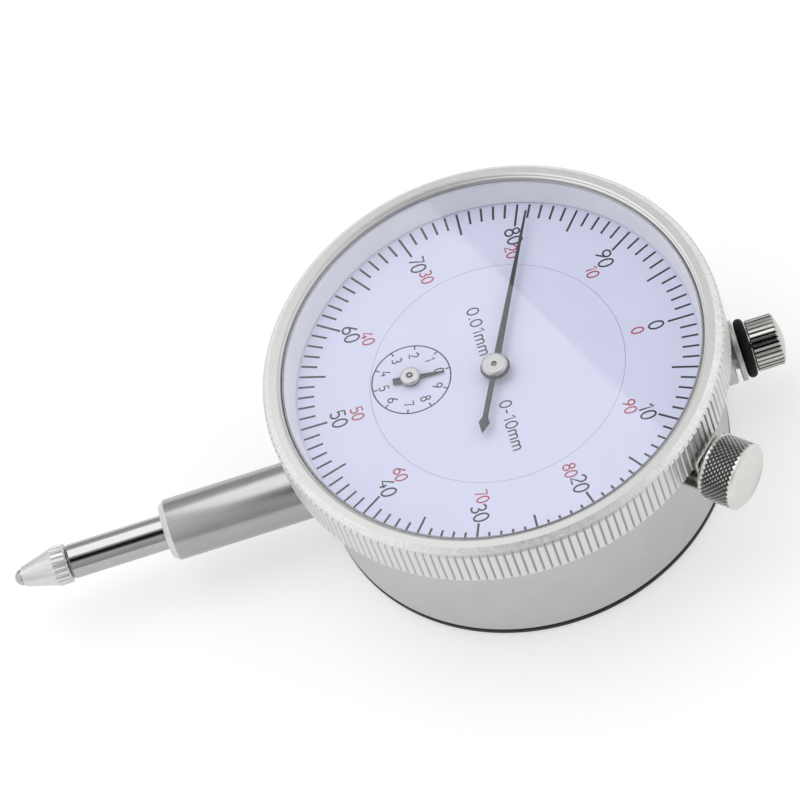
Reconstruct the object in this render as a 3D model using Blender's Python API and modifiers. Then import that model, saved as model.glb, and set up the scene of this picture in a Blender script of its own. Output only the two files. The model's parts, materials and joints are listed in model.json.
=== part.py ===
"""Plunger dial indicator: 0.01 mm on the large dial, 10 mm of travel.

Frame: the origin is the centre of the flat back, +Z comes out of the dial, +Y goes to twelve
o'clock and the contact point hangs towards -Y. The pieces stand as they do when nothing
touches the contact point, with the spindle fully out.

Sizes are in millimetres, and MM turns them into metres where a mesh is made.
"""
import math

import bmesh
import bpy
from mathutils import Vector

MM = 0.001
TURN = 2.0 * math.pi

# Overall sizes
CASE_RADIUS = 26.05
CASE_WALL = 1.55
DIAL_LEVEL = 19.86          # height of the printed dial face above the flat back
SPINDLE_LEVEL = 8.56        # height of the spindle's axis above the flat back
BEZEL_WALL = 3.15           # from the case's side out to the bezel's ribbed band
STEM_RADIUS = 4.0
STEM_SHOWING = 20.35        # stem below the case
SPINDLE_RADIUS = 2.25
TRAVEL = 10.0

# Clearances
FIT = 0.15                  # between pieces that are pressed, screwed or stacked together
RUNNING = 0.3               # between pieces that pass each other
TOUCH = 0.1                 # between flat pieces that lie on each other
HEAD_GAP = 0.05             # under a screw's head
CUT_PAST = 1.0              # how far a cutter reaches past what it cuts
JOIN_INTO = 0.3             # how far a joined piece starts inside the other

# How finely round shapes are cut
WIDE_STEPS = 48
MID_STEPS = 24
FINE_STEPS = 12
SCREW_STEPS = 10
SHARP_ANGLE = 35.0          # edges sharper than this stay sharp when shaded
MERGE_DISTANCE = 0.000002   # in metres

# Back cover and its screws
COVER_RIM = 0.66
SPIGOT_HEIGHT = 1.1
BACK_SCREWS = 4
BACK_SCREW_INSET = 3.45     # from the case's side in to a back screw
BACK_SCREW_ANGLE = 45.0
BOSS_RADIUS = 2.2
BACK_SCREW_DEPTH = 4.6
HEAD_SUNK = 0.1             # a back screw's head lies this far below the back

# Screws, one size for the back and one for the movement
BACK_SCREW = {"head": 1.6, "head_height": 0.75, "shank": 0.8}
SMALL_SCREW = {"head": 1.3, "head_height": 0.6, "shank": 0.6}
SLOT_WIDTH = 0.35
SLOT_DEPTH = 0.3

# Case front: floor, seat for the fixed dial, rim and the groove of the bezel's wire
FLOOR_THICKNESS = 1.2
FLOOR_DROP = 2.26           # from the dial face down to the floor's top
SEAT_WIDTH = 2.8
SEAT_INSET = 0.4            # the fixed dial overhangs its seat by this
RIM_WIDTH = 2.55
WIRE_RADIUS = 0.2
GROOVE_DEPTH = 0.3
GROOVE_HALF = 0.26
WIRE_OPENING = 20.0
WIRE_POINTS = 25

# Bezel, from its lower edge to the lip round the crystal
BEZEL_DROP = 1.86           # lower edge below the dial face
BAND_TOP = 3.4              # top of the ribbed band above the dial face
LIP_TOP = 4.4
LIP_FALL = 0.1
LIP_WIDTH = 1.0
BAND_CHAMFER = 0.9
BORE_WALL = 2.45            # from the bore round the crystal out to the band
BORE_CHAMFER = 0.2
BORE_CHAMFER_START = 0.5    # below the lip
BORE_CHAMFER_END = 0.3
RING_FIT = 0.25             # between the bore and the rings and crystal in it
LAND_THICKNESS = 0.35
LAND_WIDTH = 1.85

# Dial plates, crystal and the rings that hold it
CENTER_DIAL_RADIUS = 16.2
CENTER_DIAL_THICKNESS = 0.5
DIAL_RING_THICKNESS = 0.4
DIAL_SPLIT = 0.25
REFLECTOR_WIDTH = 0.75      # at its foot
REFLECTOR_TOP_WIDTH = 0.2
REFLECTOR_HEIGHT = 2.1
CRYSTAL_THICKNESS = 1.2
SNAP_RING_WIDTH = 0.4
SNAP_RING_HEIGHT = 0.34

# Stem, bushes and the boss at the top of the case
STEM_WALL = 0.7
STEM_CHAMFER = 0.55
STEM_BUSH_LENGTH = 9.0
STEM_INSIDE = 2.4           # how far the stem reaches in past the case's outer face
BOSS_TOP_RADIUS = 3.95
BOSS_TOP_SHOWING = 2.35     # boss above the case
TOP_BUSH_WALL = 0.8
TOP_BUSH_INSIDE = 10.8

# Spindle, contact point and lifting cap
SPINDLE_OUT = 12.8          # spindle showing below the stem
NECK_RADIUS = 1.6
NECK_LENGTH = 4.6
CAP_REST_GAP = 0.6
STUD_RADIUS = 1.1
STUD_LENGTH = 4.9
COLLAR_RADIUS = 2.575
COLLAR_LENGTH = 2.0
COLLAR_GAP = 0.2
COLLAR_CHAMFER = 0.25
COLLAR_CHAMFER_LENGTH = 0.35
CONE_LENGTH = 4.15
CONE_END_RADIUS = 1.325
BALL_RADIUS = 1.1
BALL_SHOWING = 1.05
WASHER_RADIUS = 3.97
WASHER_THICKNESS = 0.65
ORING_OUTER = 3.85
ORING_SECTION = 0.65
ORING_SIDES = 8
CAP_RADIUS = 3.375
CAP_KNURL = 3.45
CAP_CROWN = 0.8
CAP_DOME = ((0.55, 0.85), (0.9, 0.35))    # shares of the cap's radius and crown

# Rack, gears and arbors
RACK_PITCH = 0.625
RACK_DEPTH_IN_SPINDLE = 1.0
PINION_TEETH = 16
CENTER_TEETH = 10
WHEEL_TEETH = 100
TOOTH_ADDENDUM = 0.8        # in modules
TOOTH_DEDENDUM = 1.05
TOOTH_BACKLASH = 0.2        # share of the tooth that is taken away
FLANK_ANGLE = 20.0
PINION_WIDTH = 2.4
WHEEL_THICKNESS = 0.6
WHEEL_HOLES = 4
WHEEL_HOLE_RADIUS = 2.3
WHEEL_HOLE_CIRCLE = 0.56    # share of the pitch radius
CENTER_PINION_WIDTH = 1.2
ARBOR_RADIUS = 0.5
PIVOT_RADIUS = 0.35
PIVOT_LENGTH = 0.85
COUNTER_ANGLE = 15.3        # the small dial sits this far past six o'clock

# Movement plates and pillars
PLATE_THICKNESS = 1.0
BRIDGE_ABOVE_SPINDLE = 0.4
PLATE_BELOW_SPINDLE = 1.8
WHEEL_ABOVE_BRIDGE = 1.8
PILLAR_RADIUS = 1.5
PLATE_MARGIN = 2.2
PILLAR_THREAD_DEPTH = 3.0
SCREW_REACH = 2.2
BUSH_WALL = 0.9
BUSH_LENGTH = 2.1
BRIDGE_PILLAR_ANGLES = (-118.0, 45.0, -20.0)
PLATE_PILLAR_ANGLES = (195.0, -20.0, 25.0)

# Guide pin, rail and return spring
PIN_RADIUS = 0.5
PIN_PLACE = -6.0            # along the spindle, at rest
PIN_PAST_SPRING = 0.6
RAIL_GAP = 1.15             # between the spindle and the rail
RAIL_WEB = 1.0
RAIL_FLANGE = 3.6
RAIL_FLANGE_THICKNESS = 0.7
RAIL_DROP = 1.7
RAIL_END = 1.7
RAIL_SCREW_SPACING = 2.6
RAIL_SCREW_REACH = 1.6
RAIL_SCREW_SHARE = 0.55     # how far across the flange its screws stand
SPRING_SIDE = 6.5
SPRING_LENGTH = 13.8        # from pin to post, at rest
SPRING_COIL_RADIUS = 0.8
SPRING_WIRE_RADIUS = 0.15
SPRING_TURNS = 8
SPRING_STEPS = 8
POST_RADIUS = 0.6
POST_BELOW_SPINDLE = 1.2
HOOK_TO_COIL = 2.5
HOOK_STEPS = 7
HOOK_SWEEP = 240.0

# Hairspring on the counter arbor
HAIRSPRING_TURNS = 5
HAIRSPRING_STEPS = 13
HAIRSPRING_INNER = 1.25
HAIRSPRING_OUTER = 4.6
HAIRSPRING_STRIP = 0.12
HAIRSPRING_HEIGHT = 0.5
COLLET_RADIUS = 1.05
COLLET_HEIGHT = 0.8
STUD_PIN_RADIUS = 0.35
COLLET_ABOVE_BRIDGE = 0.45

# Hands
MAIN_HAND_ANGLE = 293.0     # clockwise from twelve o'clock
MAIN_HAND_LENGTH = 23.7
MAIN_HAND_TAIL = 9.74
SMALL_HAND_ANGLE = 7.0
SMALL_HAND_LENGTH = 4.3
SMALL_HAND_TAIL = 2.3
HAND_THICKNESS = 0.2
MAIN_HAND_TIP = 0.25
MAIN_HAND_ROOT = 0.9
MAIN_TAIL_WIDTH = 0.7
KITE_WIDTH = 1.43           # the diamond at the end of the main hand's tail
KITE_START = 2.3
KITE_MIDDLE = 1.5
KITE_POINT = 0.1
SMALL_HAND_TIP = 0.2
SMALL_HAND_ROOT = 0.6
SMALL_TAIL_WIDTH = 0.9
HAND_DISC_RADIUS = 1.9
SMALL_DISC_RADIUS = 1.2
MAIN_HUB_RADIUS = 1.65
MAIN_HUB_TOP = 2.0          # above the dial face
MAIN_HUB_DISC = 0.6
MAIN_HUB_COLLAR = 0.9
MAIN_HUB_START = 0.45
MAIN_HUB_CHAMFER = 0.15
MAIN_ARBOR_SUNK = 0.36
SMALL_HUB_RADIUS = 1.25
SMALL_HUB_TOP = 1.0
SMALL_HUB_DISC = 0.4
SMALL_HUB_COLLAR = 0.85
SMALL_HUB_START = 0.15
SMALL_HUB_CHAMFER = 0.12
SMALL_ARBOR_FIT = 0.1

# Bezel clamp: a thumb screw through a claw
CLAMP_ANGLE = 43.0          # clockwise from twelve o'clock
CLAMP_DROP = 3.7            # below the dial face
KNOB_RADIUS = 4.3
KNOB_LENGTH = 4.95
KNOB_FACE = 0.4
KNOB_CHAMFER = 0.45
CLAMP_SHANK = 1.2
CLAW_THICKNESS = 0.45
CLAW_GAP = 0.3
CLAW_WIDTH = 5.0
CLAW_REACH = 3.6
CLAW_FOOT = 2.9

# Sizes that follow from the ones above
MODULE = RACK_PITCH / math.pi
PINION_PITCH = MODULE * PINION_TEETH / 2.0
CENTER_PITCH = MODULE * CENTER_TEETH / 2.0
WHEEL_PITCH = MODULE * WHEEL_TEETH / 2.0
WHEEL_TIP = WHEEL_PITCH + MODULE * TOOTH_ADDENDUM
CENTER_DISTANCE = WHEEL_PITCH + CENTER_PITCH
RACK_LINE = SPINDLE_RADIUS - RACK_DEPTH_IN_SPINDLE
RACK_X = -(RACK_LINE + PINION_PITCH)
RACK_ARBOR = Vector((RACK_X, math.sqrt(CENTER_DISTANCE ** 2 - RACK_X ** 2)))
COUNTER_TURN = math.radians(COUNTER_ANGLE)
COUNTER_ARBOR = Vector((-math.sin(COUNTER_TURN), -math.cos(COUNTER_TURN))) * CENTER_DISTANCE
CENTER_ARBOR = Vector((0.0, 0.0))

CASE_INNER = CASE_RADIUS - CASE_WALL
STEM_END = -(CASE_RADIUS + STEM_SHOWING)
BOSS_TOP_END = CASE_RADIUS + BOSS_TOP_SHOWING
BACK_SCREW_CIRCLE = CASE_RADIUS - BACK_SCREW_INSET
BEZEL_RADIUS = CASE_RADIUS + BEZEL_WALL
BEZEL_BORE = BEZEL_RADIUS - BORE_WALL
LIP_OUTER = BEZEL_RADIUS - BAND_CHAMFER
LIP_INNER = LIP_OUTER - LIP_WIDTH
SEAT_OUTER = CENTER_DIAL_RADIUS - SEAT_INSET
SEAT_INNER = SEAT_OUTER - SEAT_WIDTH
CASE_BOTTOM = COVER_RIM + FIT
FLOOR_TOP = DIAL_LEVEL - FLOOR_DROP
FLOOR_BOTTOM = FLOOR_TOP - FLOOR_THICKNESS
LAND_TOP = DIAL_LEVEL - DIAL_RING_THICKNESS - FIT
LAND_BOTTOM = LAND_TOP - LAND_THICKNESS
RIM_TOP = LAND_BOTTOM - FIT
SEAT_TOP = DIAL_LEVEL - CENTER_DIAL_THICKNESS - FIT
BEZEL_BOTTOM = DIAL_LEVEL - BEZEL_DROP
WIRE_LEVEL = (BEZEL_BOTTOM + RIM_TOP) / 2.0
BEZEL_SLEEVE = CASE_RADIUS + RUNNING
RING_OUTER = BEZEL_BORE - RING_FIT
REFLECTOR_BOTTOM = DIAL_LEVEL + FIT
CRYSTAL_BOTTOM = REFLECTOR_BOTTOM + REFLECTOR_HEIGHT + FIT
CRYSTAL_TOP = CRYSTAL_BOTTOM + CRYSTAL_THICKNESS

BRIDGE_BOTTOM = SPINDLE_LEVEL + SPINDLE_RADIUS + BRIDGE_ABOVE_SPINDLE
BRIDGE_TOP = BRIDGE_BOTTOM + PLATE_THICKNESS
WHEEL_LEVEL = BRIDGE_TOP + WHEEL_ABOVE_BRIDGE
PLATE_TOP = SPINDLE_LEVEL - SPINDLE_RADIUS - PLATE_BELOW_SPINDLE
PLATE_BOTTOM = PLATE_TOP - PLATE_THICKNESS
BORE_RADIUS = SPINDLE_RADIUS + FIT
SPINDLE_END = STEM_END - SPINDLE_OUT
COLLAR_TOP = SPINDLE_END - COLLAR_GAP
WASHER_START = BOSS_TOP_END + CAP_REST_GAP
ORING_START = WASHER_START + WASHER_THICKNESS + TOUCH
CAP_START = ORING_START + 2.0 * ORING_SECTION + TOUCH
CLAMP_LEVEL = DIAL_LEVEL - CLAMP_DROP
CLAMP_TURN = math.radians(90.0 - CLAMP_ANGLE)
CLAW_INNER = BEZEL_RADIUS + CLAW_GAP
KNOB_INNER = CLAW_INNER + CLAW_THICKNESS + FIT
RAIL_INNER = SPINDLE_RADIUS + RAIL_GAP

MATERIALS = {
    # name: (red, green, blue), roughness, metallic
    "satin_aluminium": ((0.62, 0.63, 0.64), 0.34, 1.0),
    "machined_aluminium": ((0.80, 0.80, 0.79), 0.30, 1.0),
    "brushed_steel": ((0.55, 0.55, 0.55), 0.30, 1.0),
    "polished_steel": ((0.66, 0.66, 0.67), 0.12, 1.0),
    "bright_nickel": ((0.72, 0.71, 0.69), 0.18, 1.0),
    "brass": ((0.72, 0.55, 0.28), 0.25, 1.0),
    "blued_steel": ((0.08, 0.08, 0.10), 0.35, 1.0),
    "spring_steel": ((0.42, 0.42, 0.44), 0.25, 1.0),
    "black_plastic": ((0.015, 0.015, 0.016), 0.5, 0.0),
    "black_rubber": ((0.012, 0.012, 0.012), 0.65, 0.0),
    "dial_paint": ((0.70, 0.72, 0.86), 0.45, 0.0),
    "reflector_paint": ((0.66, 0.66, 0.68), 0.4, 0.0),
    "clear_acrylic": ((0.95, 0.96, 0.97), 0.04, 0.0),
}


def clear_scene():
    for item in list(bpy.data.objects):
        bpy.data.objects.remove(item, do_unlink=True)


def new_collection(name):
    collection = bpy.data.collections.new(name)
    bpy.context.scene.collection.children.link(collection)
    return collection


def material(name):
    """The material of that name, made the first time it is asked for."""
    found = bpy.data.materials.get(name)
    if found:
        return found
    colour, roughness, metallic = MATERIALS[name]
    made = bpy.data.materials.new(name)
    made.use_nodes = True
    shader = made.node_tree.nodes["Principled BSDF"]
    shader.inputs["Base Color"].default_value = (*colour, 1.0)
    shader.inputs["Roughness"].default_value = roughness
    shader.inputs["Metallic"].default_value = metallic
    made.diffuse_color = (*colour, 1.0)
    return made


def joint_axis(name, x, y, z):
    """An empty on a joint's axis, which carries the pieces that move together."""
    empty = bpy.data.objects.new(name, None)
    empty.location = Vector((x, y, z)) * MM
    parts.objects.link(empty)
    return empty


def place(piece, at, turn=(0.0, 0.0, 0.0), carrier=None):
    """Puts a piece at a place in the whole object's frame, on its carrier if it has one."""
    start = carrier.location if carrier else Vector()
    piece.parent = carrier
    piece.location = Vector(at) * MM - start
    piece.rotation_euler = turn


def link_piece(name, data, surface, at, turn, carrier):
    piece = bpy.data.objects.new(name, data)
    data.materials.append(material(surface))
    parts.objects.link(piece)
    place(piece, at, turn, carrier)
    return piece


ALONG_Y = (-math.pi / 2.0, 0.0, 0.0)
OUT_OF_CLAMP = (0.0, math.pi / 2.0, CLAMP_TURN)


def turned(name, profile, surface, steps=MID_STEPS, at=(0.0, 0.0, 0.0), turn=(0.0, 0.0, 0.0),
           carrier=None, ring=False):
    """A turned piece. The profile is (radius, height) pairs down the outer side.

    A solid piece starts and ends on the axis; a ring's profile closes on itself.
    """
    mesh = bpy.data.meshes.new(name)
    shape = bmesh.new()
    corners = [shape.verts.new((radius * MM, 0.0, height * MM)) for radius, height in profile]
    for first, second in zip(corners, corners[1:]):
        shape.edges.new((first, second))
    if ring:
        shape.edges.new((corners[-1], corners[0]))
    shape.to_mesh(mesh)
    shape.free()
    piece = link_piece(name, mesh, surface, at, turn, carrier)
    screw = piece.modifiers.new("turned", "SCREW")
    screw.steps = steps
    screw.render_steps = steps
    screw.use_merge_vertices = True
    screw.merge_threshold = MERGE_DISTANCE
    return piece


def sleeve(name, outer, inner, bottom, top, surface, steps=MID_STEPS, **where):
    """A plain tube between two heights."""
    profile = [(outer, top), (outer, bottom), (inner, bottom), (inner, top)]
    return turned(name, profile, surface, steps, ring=True, **where)


def circle_points(radius, count, centre=(0.0, 0.0)):
    angles = [TURN * index / count for index in range(count)]
    return [(centre[0] + radius * math.cos(a), centre[1] + radius * math.sin(a)) for a in angles]


def evaluated_mesh(source):
    """The evaluated shape of an object as a mesh of its own."""
    bpy.context.view_layer.update()
    evaluated = source.evaluated_get(bpy.context.evaluated_depsgraph_get())
    return bpy.data.meshes.new_from_object(evaluated)


def welded_mesh(source):
    """The same, with the loose edges of a curve's caps joined."""
    mesh = evaluated_mesh(source)
    shape = bmesh.new()
    shape.from_mesh(mesh)
    bmesh.ops.remove_doubles(shape, verts=shape.verts, dist=MERGE_DISTANCE)
    shape.to_mesh(mesh)
    shape.free()
    return mesh


def curve_piece(name, curve, surface, at, turn, carrier):
    """Turns curve data into a mesh piece, so that it can be cut and joined."""
    source = bpy.data.objects.new(name + "_curve", curve)
    parts.objects.link(source)
    mesh = welded_mesh(source)
    mesh.name = name
    mesh.materials.clear()
    bpy.data.objects.remove(source)
    return link_piece(name, mesh, surface, at, turn, carrier)


def plate(name, outlines, thickness, surface, at=(0.0, 0.0, 0.0), turn=(0.0, 0.0, 0.0),
          carrier=None):
    """A flat piece: the first outline is its edge, the others are its holes."""
    curve = bpy.data.curves.new(name, "CURVE")
    curve.dimensions = "2D"
    curve.fill_mode = "BOTH"
    curve.extrude = thickness * MM / 2.0
    for outline in outlines:
        spline = curve.splines.new("POLY")
        spline.points.add(len(outline) - 1)
        for point, (x, y) in zip(spline.points, outline):
            point.co = (x * MM, y * MM, 0.0, 1.0)
        spline.use_cyclic_u = True
    return curve_piece(name, curve, surface, at, turn, carrier)


def wire(name, points, radius, surface, at=(0.0, 0.0, 0.0), turn=(0.0, 0.0, 0.0), carrier=None):
    """A round wire through its points, with closed ends."""
    curve = bpy.data.curves.new(name, "CURVE")
    curve.dimensions = "3D"
    curve.bevel_depth = radius * MM
    curve.bevel_resolution = 2
    curve.use_fill_caps = True
    spline = curve.splines.new("POLY")
    spline.points.add(len(points) - 1)
    for point, place_on_wire in zip(spline.points, points):
        point.co = (*(Vector(place_on_wire) * MM), 1.0)
    return curve_piece(name, curve, surface, at, turn, carrier)


def as_tool(tool):
    """Moves a piece that only cuts or joins another into the cutters' collection."""
    parts.objects.unlink(tool)
    cutters.objects.link(tool)
    tool.hide_render = True
    tool.display_type = "WIRE"


def shape_with(piece, tool, operation):
    boolean = piece.modifiers.new(tool.name, "BOOLEAN")
    boolean.operation = operation
    boolean.solver = "EXACT"
    boolean.object = tool
    as_tool(tool)


def cut(piece, tool):
    shape_with(piece, tool, "DIFFERENCE")


def join(piece, tool):
    shape_with(piece, tool, "UNION")


def rod(name, radius, bottom, top, steps=FINE_STEPS, **where):
    """A plain solid cylinder between two heights, as a tool or a pin."""
    surface = where.pop("surface", "brushed_steel")
    profile = [(0.0, top), (radius, top), (radius, bottom), (0.0, bottom)]
    return turned(name, profile, surface, steps, **where)


def block(name, low, high, surface="brushed_steel"):
    """A box between two corners."""
    low = Vector(low) * MM
    high = Vector(high) * MM
    shape = bmesh.new()
    bmesh.ops.create_cube(shape, size=1.0)
    bmesh.ops.scale(shape, vec=high - low, verts=shape.verts)
    mesh = bpy.data.meshes.new(name)
    shape.to_mesh(mesh)
    shape.free()
    return link_piece(name, mesh, surface, (low + high) / (2.0 * MM), (0.0, 0.0, 0.0), None)


def around(centre, distance, degrees):
    """A point at a distance and an angle from a centre."""
    angle = math.radians(degrees)
    return Vector((centre[0] + distance * math.cos(angle), centre[1] + distance * math.sin(angle)))


def beside_wheel(centre, degrees):
    """Where a pillar can stand just clear of a large wheel."""
    return around(centre, WHEEL_TIP + PILLAR_RADIUS + RUNNING, degrees)


def rounded_hull(corners, radius, steps=4):
    """A convex outline round a list of points given anticlockwise."""
    outline = []
    for index, corner in enumerate(corners):
        before = corner - corners[index - 1]
        after = corners[(index + 1) % len(corners)] - corner
        start = math.atan2(-before.x, before.y)
        sweep = (math.atan2(-after.x, after.y) - start) % TURN
        for step in range(steps + 1):
            angle = start + sweep * step / steps
            outline.append((corner.x + radius * math.cos(angle), corner.y + radius * math.sin(angle)))
    return outline


def slotted_screw(name, size, at, reach, surface, upwards=True):
    """A cheese-head screw with its head's outer face at a place, its shank going up or down."""
    way = 1.0 if upwards else -1.0
    head_end = size["head_height"] * way
    tip = (size["head_height"] + reach) * way
    profile = [
        (0.0, 0.0),
        (size["head"], 0.0),
        (size["head"], head_end),
        (size["shank"], head_end),
        (size["shank"], tip),
        (0.0, tip),
    ]
    if upwards:
        profile.reverse()
    screw = turned(name, profile, surface, SCREW_STEPS, at=at)
    depth = SLOT_DEPTH * way
    wide = size["head"] + CUT_PAST
    low = (at[0] - wide, at[1] - SLOT_WIDTH / 2.0, at[2] - depth)
    high = (at[0] + wide, at[1] + SLOT_WIDTH / 2.0, at[2] + depth)
    lowest = [min(pair) for pair in zip(low, high)]
    highest = [max(pair) for pair in zip(low, high)]
    cut(screw, block(name + "_slot", lowest, highest))
    return screw


def tooth_widths():
    """Half widths of a tooth at its tip and root, with its play taken off."""
    at_pitch = RACK_PITCH / 4.0 * (1.0 - TOOTH_BACKLASH)
    slope = math.tan(math.radians(FLANK_ANGLE))
    tip = at_pitch - MODULE * TOOTH_ADDENDUM * slope
    root = at_pitch + MODULE * TOOTH_DEDENDUM * slope
    return tip, root


def gear_outline(teeth, first_tooth):
    """Outline of a gear whose first tooth is centred at an angle in radians."""
    pitch = MODULE * teeth / 2.0
    tip_half, root_half = tooth_widths()
    tip_radius = pitch + MODULE * TOOTH_ADDENDUM
    root_radius = pitch - MODULE * TOOTH_DEDENDUM
    outline = []
    for tooth in range(teeth):
        middle = first_tooth + TURN * tooth / teeth
        corners = (
            (root_radius, -root_half),
            (tip_radius, -tip_half),
            (tip_radius, tip_half),
            (root_radius, root_half),
        )
        for radius, offset in corners:
            angle = middle + offset / pitch
            outline.append((radius * math.cos(angle), radius * math.sin(angle)))
    return outline


def heading(start, end):
    """Angle of the line from one centre to another."""
    return math.atan2(end[1] - start[1], end[0] - start[0])


def build_case():
    wire_inner = CASE_RADIUS - GROOVE_DEPTH
    profile = [
        (CASE_RADIUS, RIM_TOP),
        (CASE_RADIUS, WIRE_LEVEL + GROOVE_HALF),
        (wire_inner, WIRE_LEVEL + GROOVE_HALF),
        (wire_inner, WIRE_LEVEL - GROOVE_HALF),
        (CASE_RADIUS, WIRE_LEVEL - GROOVE_HALF),
        (CASE_RADIUS, CASE_BOTTOM),
        (CASE_INNER, CASE_BOTTOM),
        (CASE_INNER, FLOOR_BOTTOM),
        (bush_hole(), FLOOR_BOTTOM),
        (bush_hole(), FLOOR_TOP),
        (SEAT_INNER, FLOOR_TOP),
        (SEAT_INNER, SEAT_TOP),
        (SEAT_OUTER, SEAT_TOP),
        (SEAT_OUTER, FLOOR_TOP),
        (CASE_RADIUS - RIM_WIDTH, FLOOR_TOP),
        (CASE_RADIUS - RIM_WIDTH, RIM_TOP),
    ]
    case = turned("case", profile, "satin_aluminium", WIDE_STEPS, ring=True)
    middle = (0.0, 0.0, SPINDLE_LEVEL)
    join(case, rod("top_boss", BOSS_TOP_RADIUS, CASE_INNER + JOIN_INTO, BOSS_TOP_END, MID_STEPS,
                   at=middle, turn=ALONG_Y))
    for index in range(BACK_SCREWS):
        x, y = back_screw_place(index)
        join(case, rod(f"boss_{index + 1}", BOSS_RADIUS, boss_start(), FLOOR_BOTTOM + JOIN_INTO,
                       at=(x, y, 0.0)))
        cut(case, rod(f"thread_{index + 1}", BACK_SCREW["shank"] + FIT, boss_start() - CUT_PAST,
                      boss_start() + BACK_SCREW_DEPTH, at=(x, y, 0.0)))
    cut(case, rod("top_bore", BORE_RADIUS + TOP_BUSH_WALL + FIT, CASE_INNER - CUT_PAST,
                  BOSS_TOP_END + CUT_PAST, MID_STEPS, at=middle, turn=ALONG_Y))
    cut(case, rod("stem_hole", STEM_RADIUS + FIT, -CASE_RADIUS - CUT_PAST, -CASE_INNER + CUT_PAST,
                  MID_STEPS, at=middle, turn=ALONG_Y))
    cut(case, rod("clamp_hole", CLAMP_SHANK + FIT, CASE_INNER - CUT_PAST, CASE_RADIUS + CUT_PAST,
                  at=(0.0, 0.0, CLAMP_LEVEL), turn=OUT_OF_CLAMP))
    through = {"counter_hole": (COUNTER_ARBOR, bush_hole()),
               "rack_pivot_hole": (RACK_ARBOR, PIVOT_RADIUS + FIT),
               "post_hole": (post_place(), POST_RADIUS + FIT)}
    for name, (centre, radius) in through.items():
        cut(case, rod(name, radius, FLOOR_BOTTOM - CUT_PAST, FLOOR_TOP + CUT_PAST, at=(*centre, 0.0)))
    # The exact solver leaves slivers where this many bosses and holes meet.
    for boolean in case.modifiers:
        if boolean.type == "BOOLEAN":
            boolean.solver = "MANIFOLD"


def bush_hole():
    """Radius of the hole that an arbor's bush is pressed into."""
    return ARBOR_RADIUS + FIT + BUSH_WALL + FIT


def boss_start():
    return COVER_RIM + SPIGOT_HEIGHT + FIT


def back_screw_place(index):
    angle = math.radians(BACK_SCREW_ANGLE) + TURN * index / BACK_SCREWS
    return BACK_SCREW_CIRCLE * math.cos(angle), BACK_SCREW_CIRCLE * math.sin(angle)


def post_place():
    """Foot of the post that holds the return spring's lower end."""
    return Vector((SPRING_SIDE, PIN_PLACE - SPRING_LENGTH))


def build_back():
    spigot = CASE_INNER - RUNNING
    profile = [
        (0.0, COVER_RIM + SPIGOT_HEIGHT),
        (spigot, COVER_RIM + SPIGOT_HEIGHT),
        (spigot, COVER_RIM),
        (CASE_RADIUS, COVER_RIM),
        (CASE_RADIUS, 0.0),
        (0.0, 0.0),
    ]
    cover = turned("back_cover", profile, "black_plastic", WIDE_STEPS)
    head_depth = HEAD_SUNK + BACK_SCREW["head_height"] + HEAD_GAP
    inside = COVER_RIM + SPIGOT_HEIGHT + CUT_PAST
    for index in range(BACK_SCREWS):
        x, y = back_screw_place(index)
        number = index + 1
        cut(cover, rod(f"counterbore_{number}", BACK_SCREW["head"] + FIT, -CUT_PAST, head_depth,
                       at=(x, y, 0.0)))
        cut(cover, rod(f"cover_hole_{number}", BACK_SCREW["shank"] + FIT, -CUT_PAST, inside,
                       at=(x, y, 0.0)))
        slotted_screw(f"back_screw_{number}", BACK_SCREW, (x, y, HEAD_SUNK), BACK_SCREW_DEPTH,
                      "bright_nickel")


def build_stem():
    middle = (0.0, 0.0, SPINDLE_LEVEL)
    inner = STEM_RADIUS - STEM_WALL
    top = -CASE_RADIUS + STEM_INSIDE
    profile = [
        (STEM_RADIUS, top),
        (STEM_RADIUS, STEM_END + STEM_CHAMFER),
        (STEM_RADIUS - STEM_CHAMFER, STEM_END),
        (inner, STEM_END),
        (inner, top),
    ]
    turned("stem", profile, "brushed_steel", at=middle, turn=ALONG_Y, ring=True)
    sleeve("stem_bush", inner - FIT, BORE_RADIUS, STEM_END + FIT, STEM_END + STEM_BUSH_LENGTH, "brass",
           at=middle, turn=ALONG_Y)
    sleeve("top_bush", BORE_RADIUS + TOP_BUSH_WALL, BORE_RADIUS, BOSS_TOP_END - TOP_BUSH_INSIDE,
           BOSS_TOP_END - TOUCH, "brass", at=middle, turn=ALONG_Y)


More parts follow.
